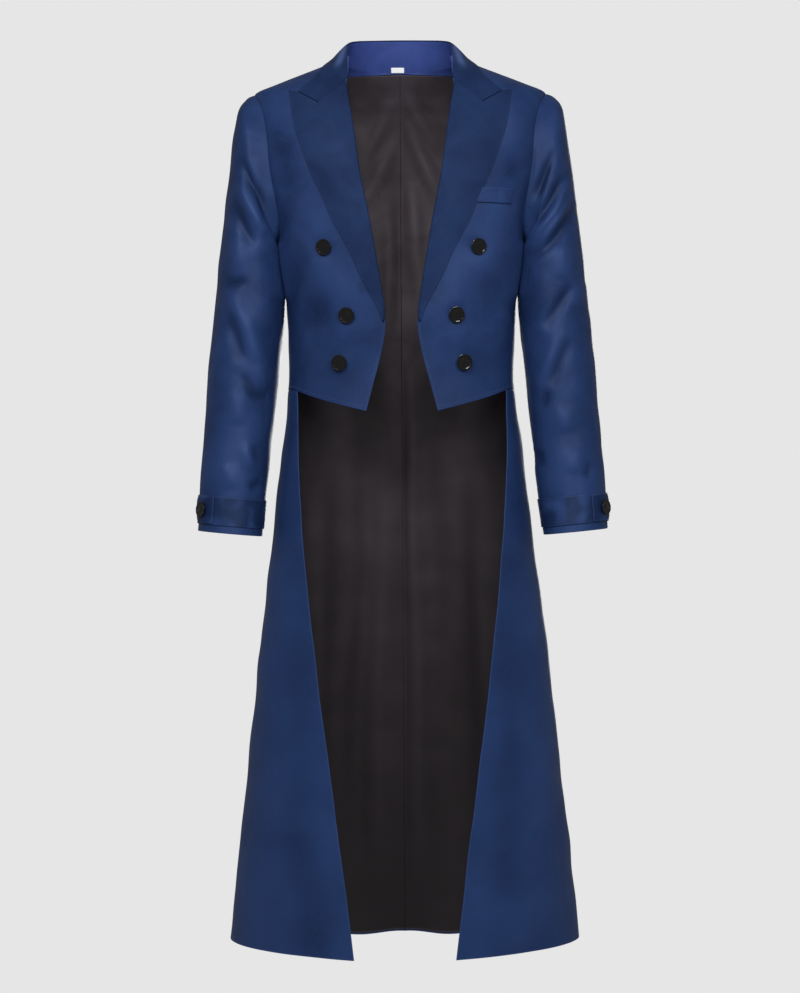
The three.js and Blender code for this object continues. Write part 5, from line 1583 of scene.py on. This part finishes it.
STITCH = {"length": 2.6, "pitch": 4.0, "radius": 0.24, "inside": 4.6, "bow": 0.16}
# Rings of a stitch: their places along it, and their widths
STITCH_RINGS = ((-0.5, 0.25), (-0.38, 0.85), (0, 1), (0.38, 0.85), (0.5, 0.25))
STITCH_SIDES = 6
# The hem's row ends this many columns short of the side seam
SHORT_OF_SEAM = 4


def stitch_row(line, out):
    """Vertices and faces of short round stitches along a line on the cloth."""
    lengths = run_along(line)
    centres = np.arange(STITCH["pitch"] / 2, lengths[-1] - STITCH["pitch"] / 2, STITCH["pitch"])

    def read(values, places):
        """The line's values at places along it."""
        return np.stack([np.interp(places, lengths, values[:, k]) for k in range(3)], -1)

    middle, up = read(line, centres), unit(read(out, centres))
    way = unit(read(line, centres + 1) - read(line, centres - 1))
    side = np.cross(way, up)
    points = []
    for share, width in STITCH_RINGS:
        ring_middle = middle + way * STITCH["length"] * share + up * STITCH["bow"] * (1 - 4 * share * share)
        for turn in np.arange(STITCH_SIDES) * 2 * math.pi / STITCH_SIDES:
            ring = side * math.cos(turn) + up * math.sin(turn)
            points.append(ring_middle + ring * STITCH["radius"] * width)
    points = np.array(points).transpose(1, 0, 2)
    count = points.shape[1]
    faces = []
    for start in range(0, count - STITCH_SIDES, STITCH_SIDES):
        for k in range(STITCH_SIDES):
            first, second = start + k, start + (k + 1) % STITCH_SIDES
            faces.append((first, second, second + STITCH_SIDES, first + STITCH_SIDES))
    faces += [tuple(range(STITCH_SIDES - 1, -1, -1)), tuple(range(count - STITCH_SIDES, count))]
    every = [tuple(count * i + v for v in face) for i in range(len(centres)) for face in faces]
    return points.reshape(-1, 3), every


def stitches(name, lines):
    """One piece with the rows of stitches along some lines."""
    points, faces, start = [], [], 0
    for line, out in lines:
        some, row_faces = stitch_row(line, out)
        points.append(some)
        faces += [tuple(start + v for v in face) for face in row_faces]
        start += len(some)
    mesh = bpy.data.meshes.new(name)
    mesh.from_pydata((np.concatenate(points) * MM).tolist(), [], faces)
    mesh.shade_smooth()
    mesh.materials.append(THREAD)
    piece = bpy.data.objects.new(name, mesh)
    bpy.context.scene.collection.objects.link(piece)
    in_edit_mode(piece)
    bpy.ops.mesh.select_all(action="SELECT")
    bpy.ops.mesh.normals_make_consistent(inside=False)
    bpy.ops.object.mode_set(mode="OBJECT")
    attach(piece, "root")


inside = EDGE_PLACES.index(STITCH["inside"])
for word, side in SIDES.items():
    placed = fronts[word]
    out = grid_normals(placed, from_axis(placed))
    corner = np.argmin(np.abs(placed[:, 0, 2] - LAPEL_FOOT))
    edge = slice(corner, -inside), inside
    hem = -1 - inside, slice(inside, -SHORT_OF_SEAM)
    stitches(f"front_stitches_{word}", [
        (mirrored(placed[line], side), mirrored(out[line], side)) for line in (edge, hem)
    ])


# ---------------------------------------------------------------- floor, light and camera

FLOOR_LEVEL, FLOOR_RADIUS = -1.6, 0.95
# Each light's place, the level on the coat's axis that it looks at, its size and its power
LIGHTS = {
    "key": ((-1.4, -2.9, 1.3), -0.4, 1.0, 49),
    "fill": ((1.5, -3.0, 0.9), -0.4, 1.0, 39),
    "front": ((0.0, -2.0, 0.15), -0.2, 0.7, 13),
    "back": ((0.5, 3.2, -0.35), -0.5, 1.6, 44),
    "spark": ((-0.15, -2.0, 1.6), -0.4, 0.12, 5),
}
LENS, SENSOR = 96.68, 36
CAMERA_PLACE, CAMERA_ROLL = (-0.00375, -4.0, -0.639), 0.34


def floor():
    """A plain pale disc well below the hems."""
    bpy.ops.object.select_all(action="DESELECT")
    bpy.ops.mesh.primitive_circle_add(
        vertices=96, radius=FLOOR_RADIUS, fill_type="NGON", location=(0, 0, FLOOR_LEVEL),
    )
    disc = bpy.context.object
    disc.name = "studio_floor"
    finish, tree = new_finish("painted_studio_floor")
    place = node(tree, "TexCoord").outputs["Object"]
    cloud = node(tree, "TexNoise", {"Scale": 3.0}, {"Vector": place}).outputs["Fac"]
    base = layered(tree, "#e2e2e2", (cloud, None, "#e9e9e9"))
    shader = node(tree, "BsdfPrincipled", {"Roughness": 0.9}, {"Base Color": base})
    node(tree, "OutputMaterial", {}, {"Surface": shader.outputs["BSDF"]})
    disc.data.materials.append(finish)


def surroundings():
    """An even pale studio: what shows of it behind the coat is lighter than the light that it gives."""
    world = bpy.data.worlds.new("studio")
    world.use_nodes = True
    tree = world.node_tree
    tree.nodes.clear()
    lit = node(tree, "Background", {"Color": "#ffffff", "Strength": 0.2}).outputs["Background"]
    seen = node(tree, "Background", {"Color": "#e6e6e6", "Strength": 1.0}).outputs["Background"]
    path = node(tree, "LightPath").outputs["Is Camera Ray"]
    both = node(tree, "MixShader", {}, {0: path, 1: lit, 2: seen}).outputs["Shader"]
    node(tree, "OutputWorld", {}, {"Surface": both})
    bpy.context.scene.world = world


def soft_lights():
    """Square lamps, wide enough to give soft light."""
    for name, (place, level, size, power) in LIGHTS.items():
        lamp = bpy.data.lights.new(name, "AREA")
        lamp.shape = "RECTANGLE"
        lamp.size = size
        lamp.size_y = size
        lamp.energy = power
        held = bpy.data.objects.new(name, lamp)
        held.location = place
        held.rotation_euler = (Vector((0, 0, level)) - Vector(place)).to_track_quat("-Z", "Y").to_euler()
        bpy.context.scene.collection.objects.link(held)


def camera():
    """The camera, level with the middle of the coat, straight in front of it."""
    lens = bpy.data.cameras.new("camera")
    lens.lens = LENS
    lens.sensor_width = SENSOR
    held = bpy.data.objects.new("camera", lens)
    held.location = CAMERA_PLACE
    held.rotation_euler = (math.pi / 2, math.radians(CAMERA_ROLL), 0)
    bpy.context.scene.collection.objects.link(held)
    bpy.context.scene.camera = held


floor()
surroundings()
soft_lights()
camera()
bpy.context.scene.view_settings.view_transform = "Standard"
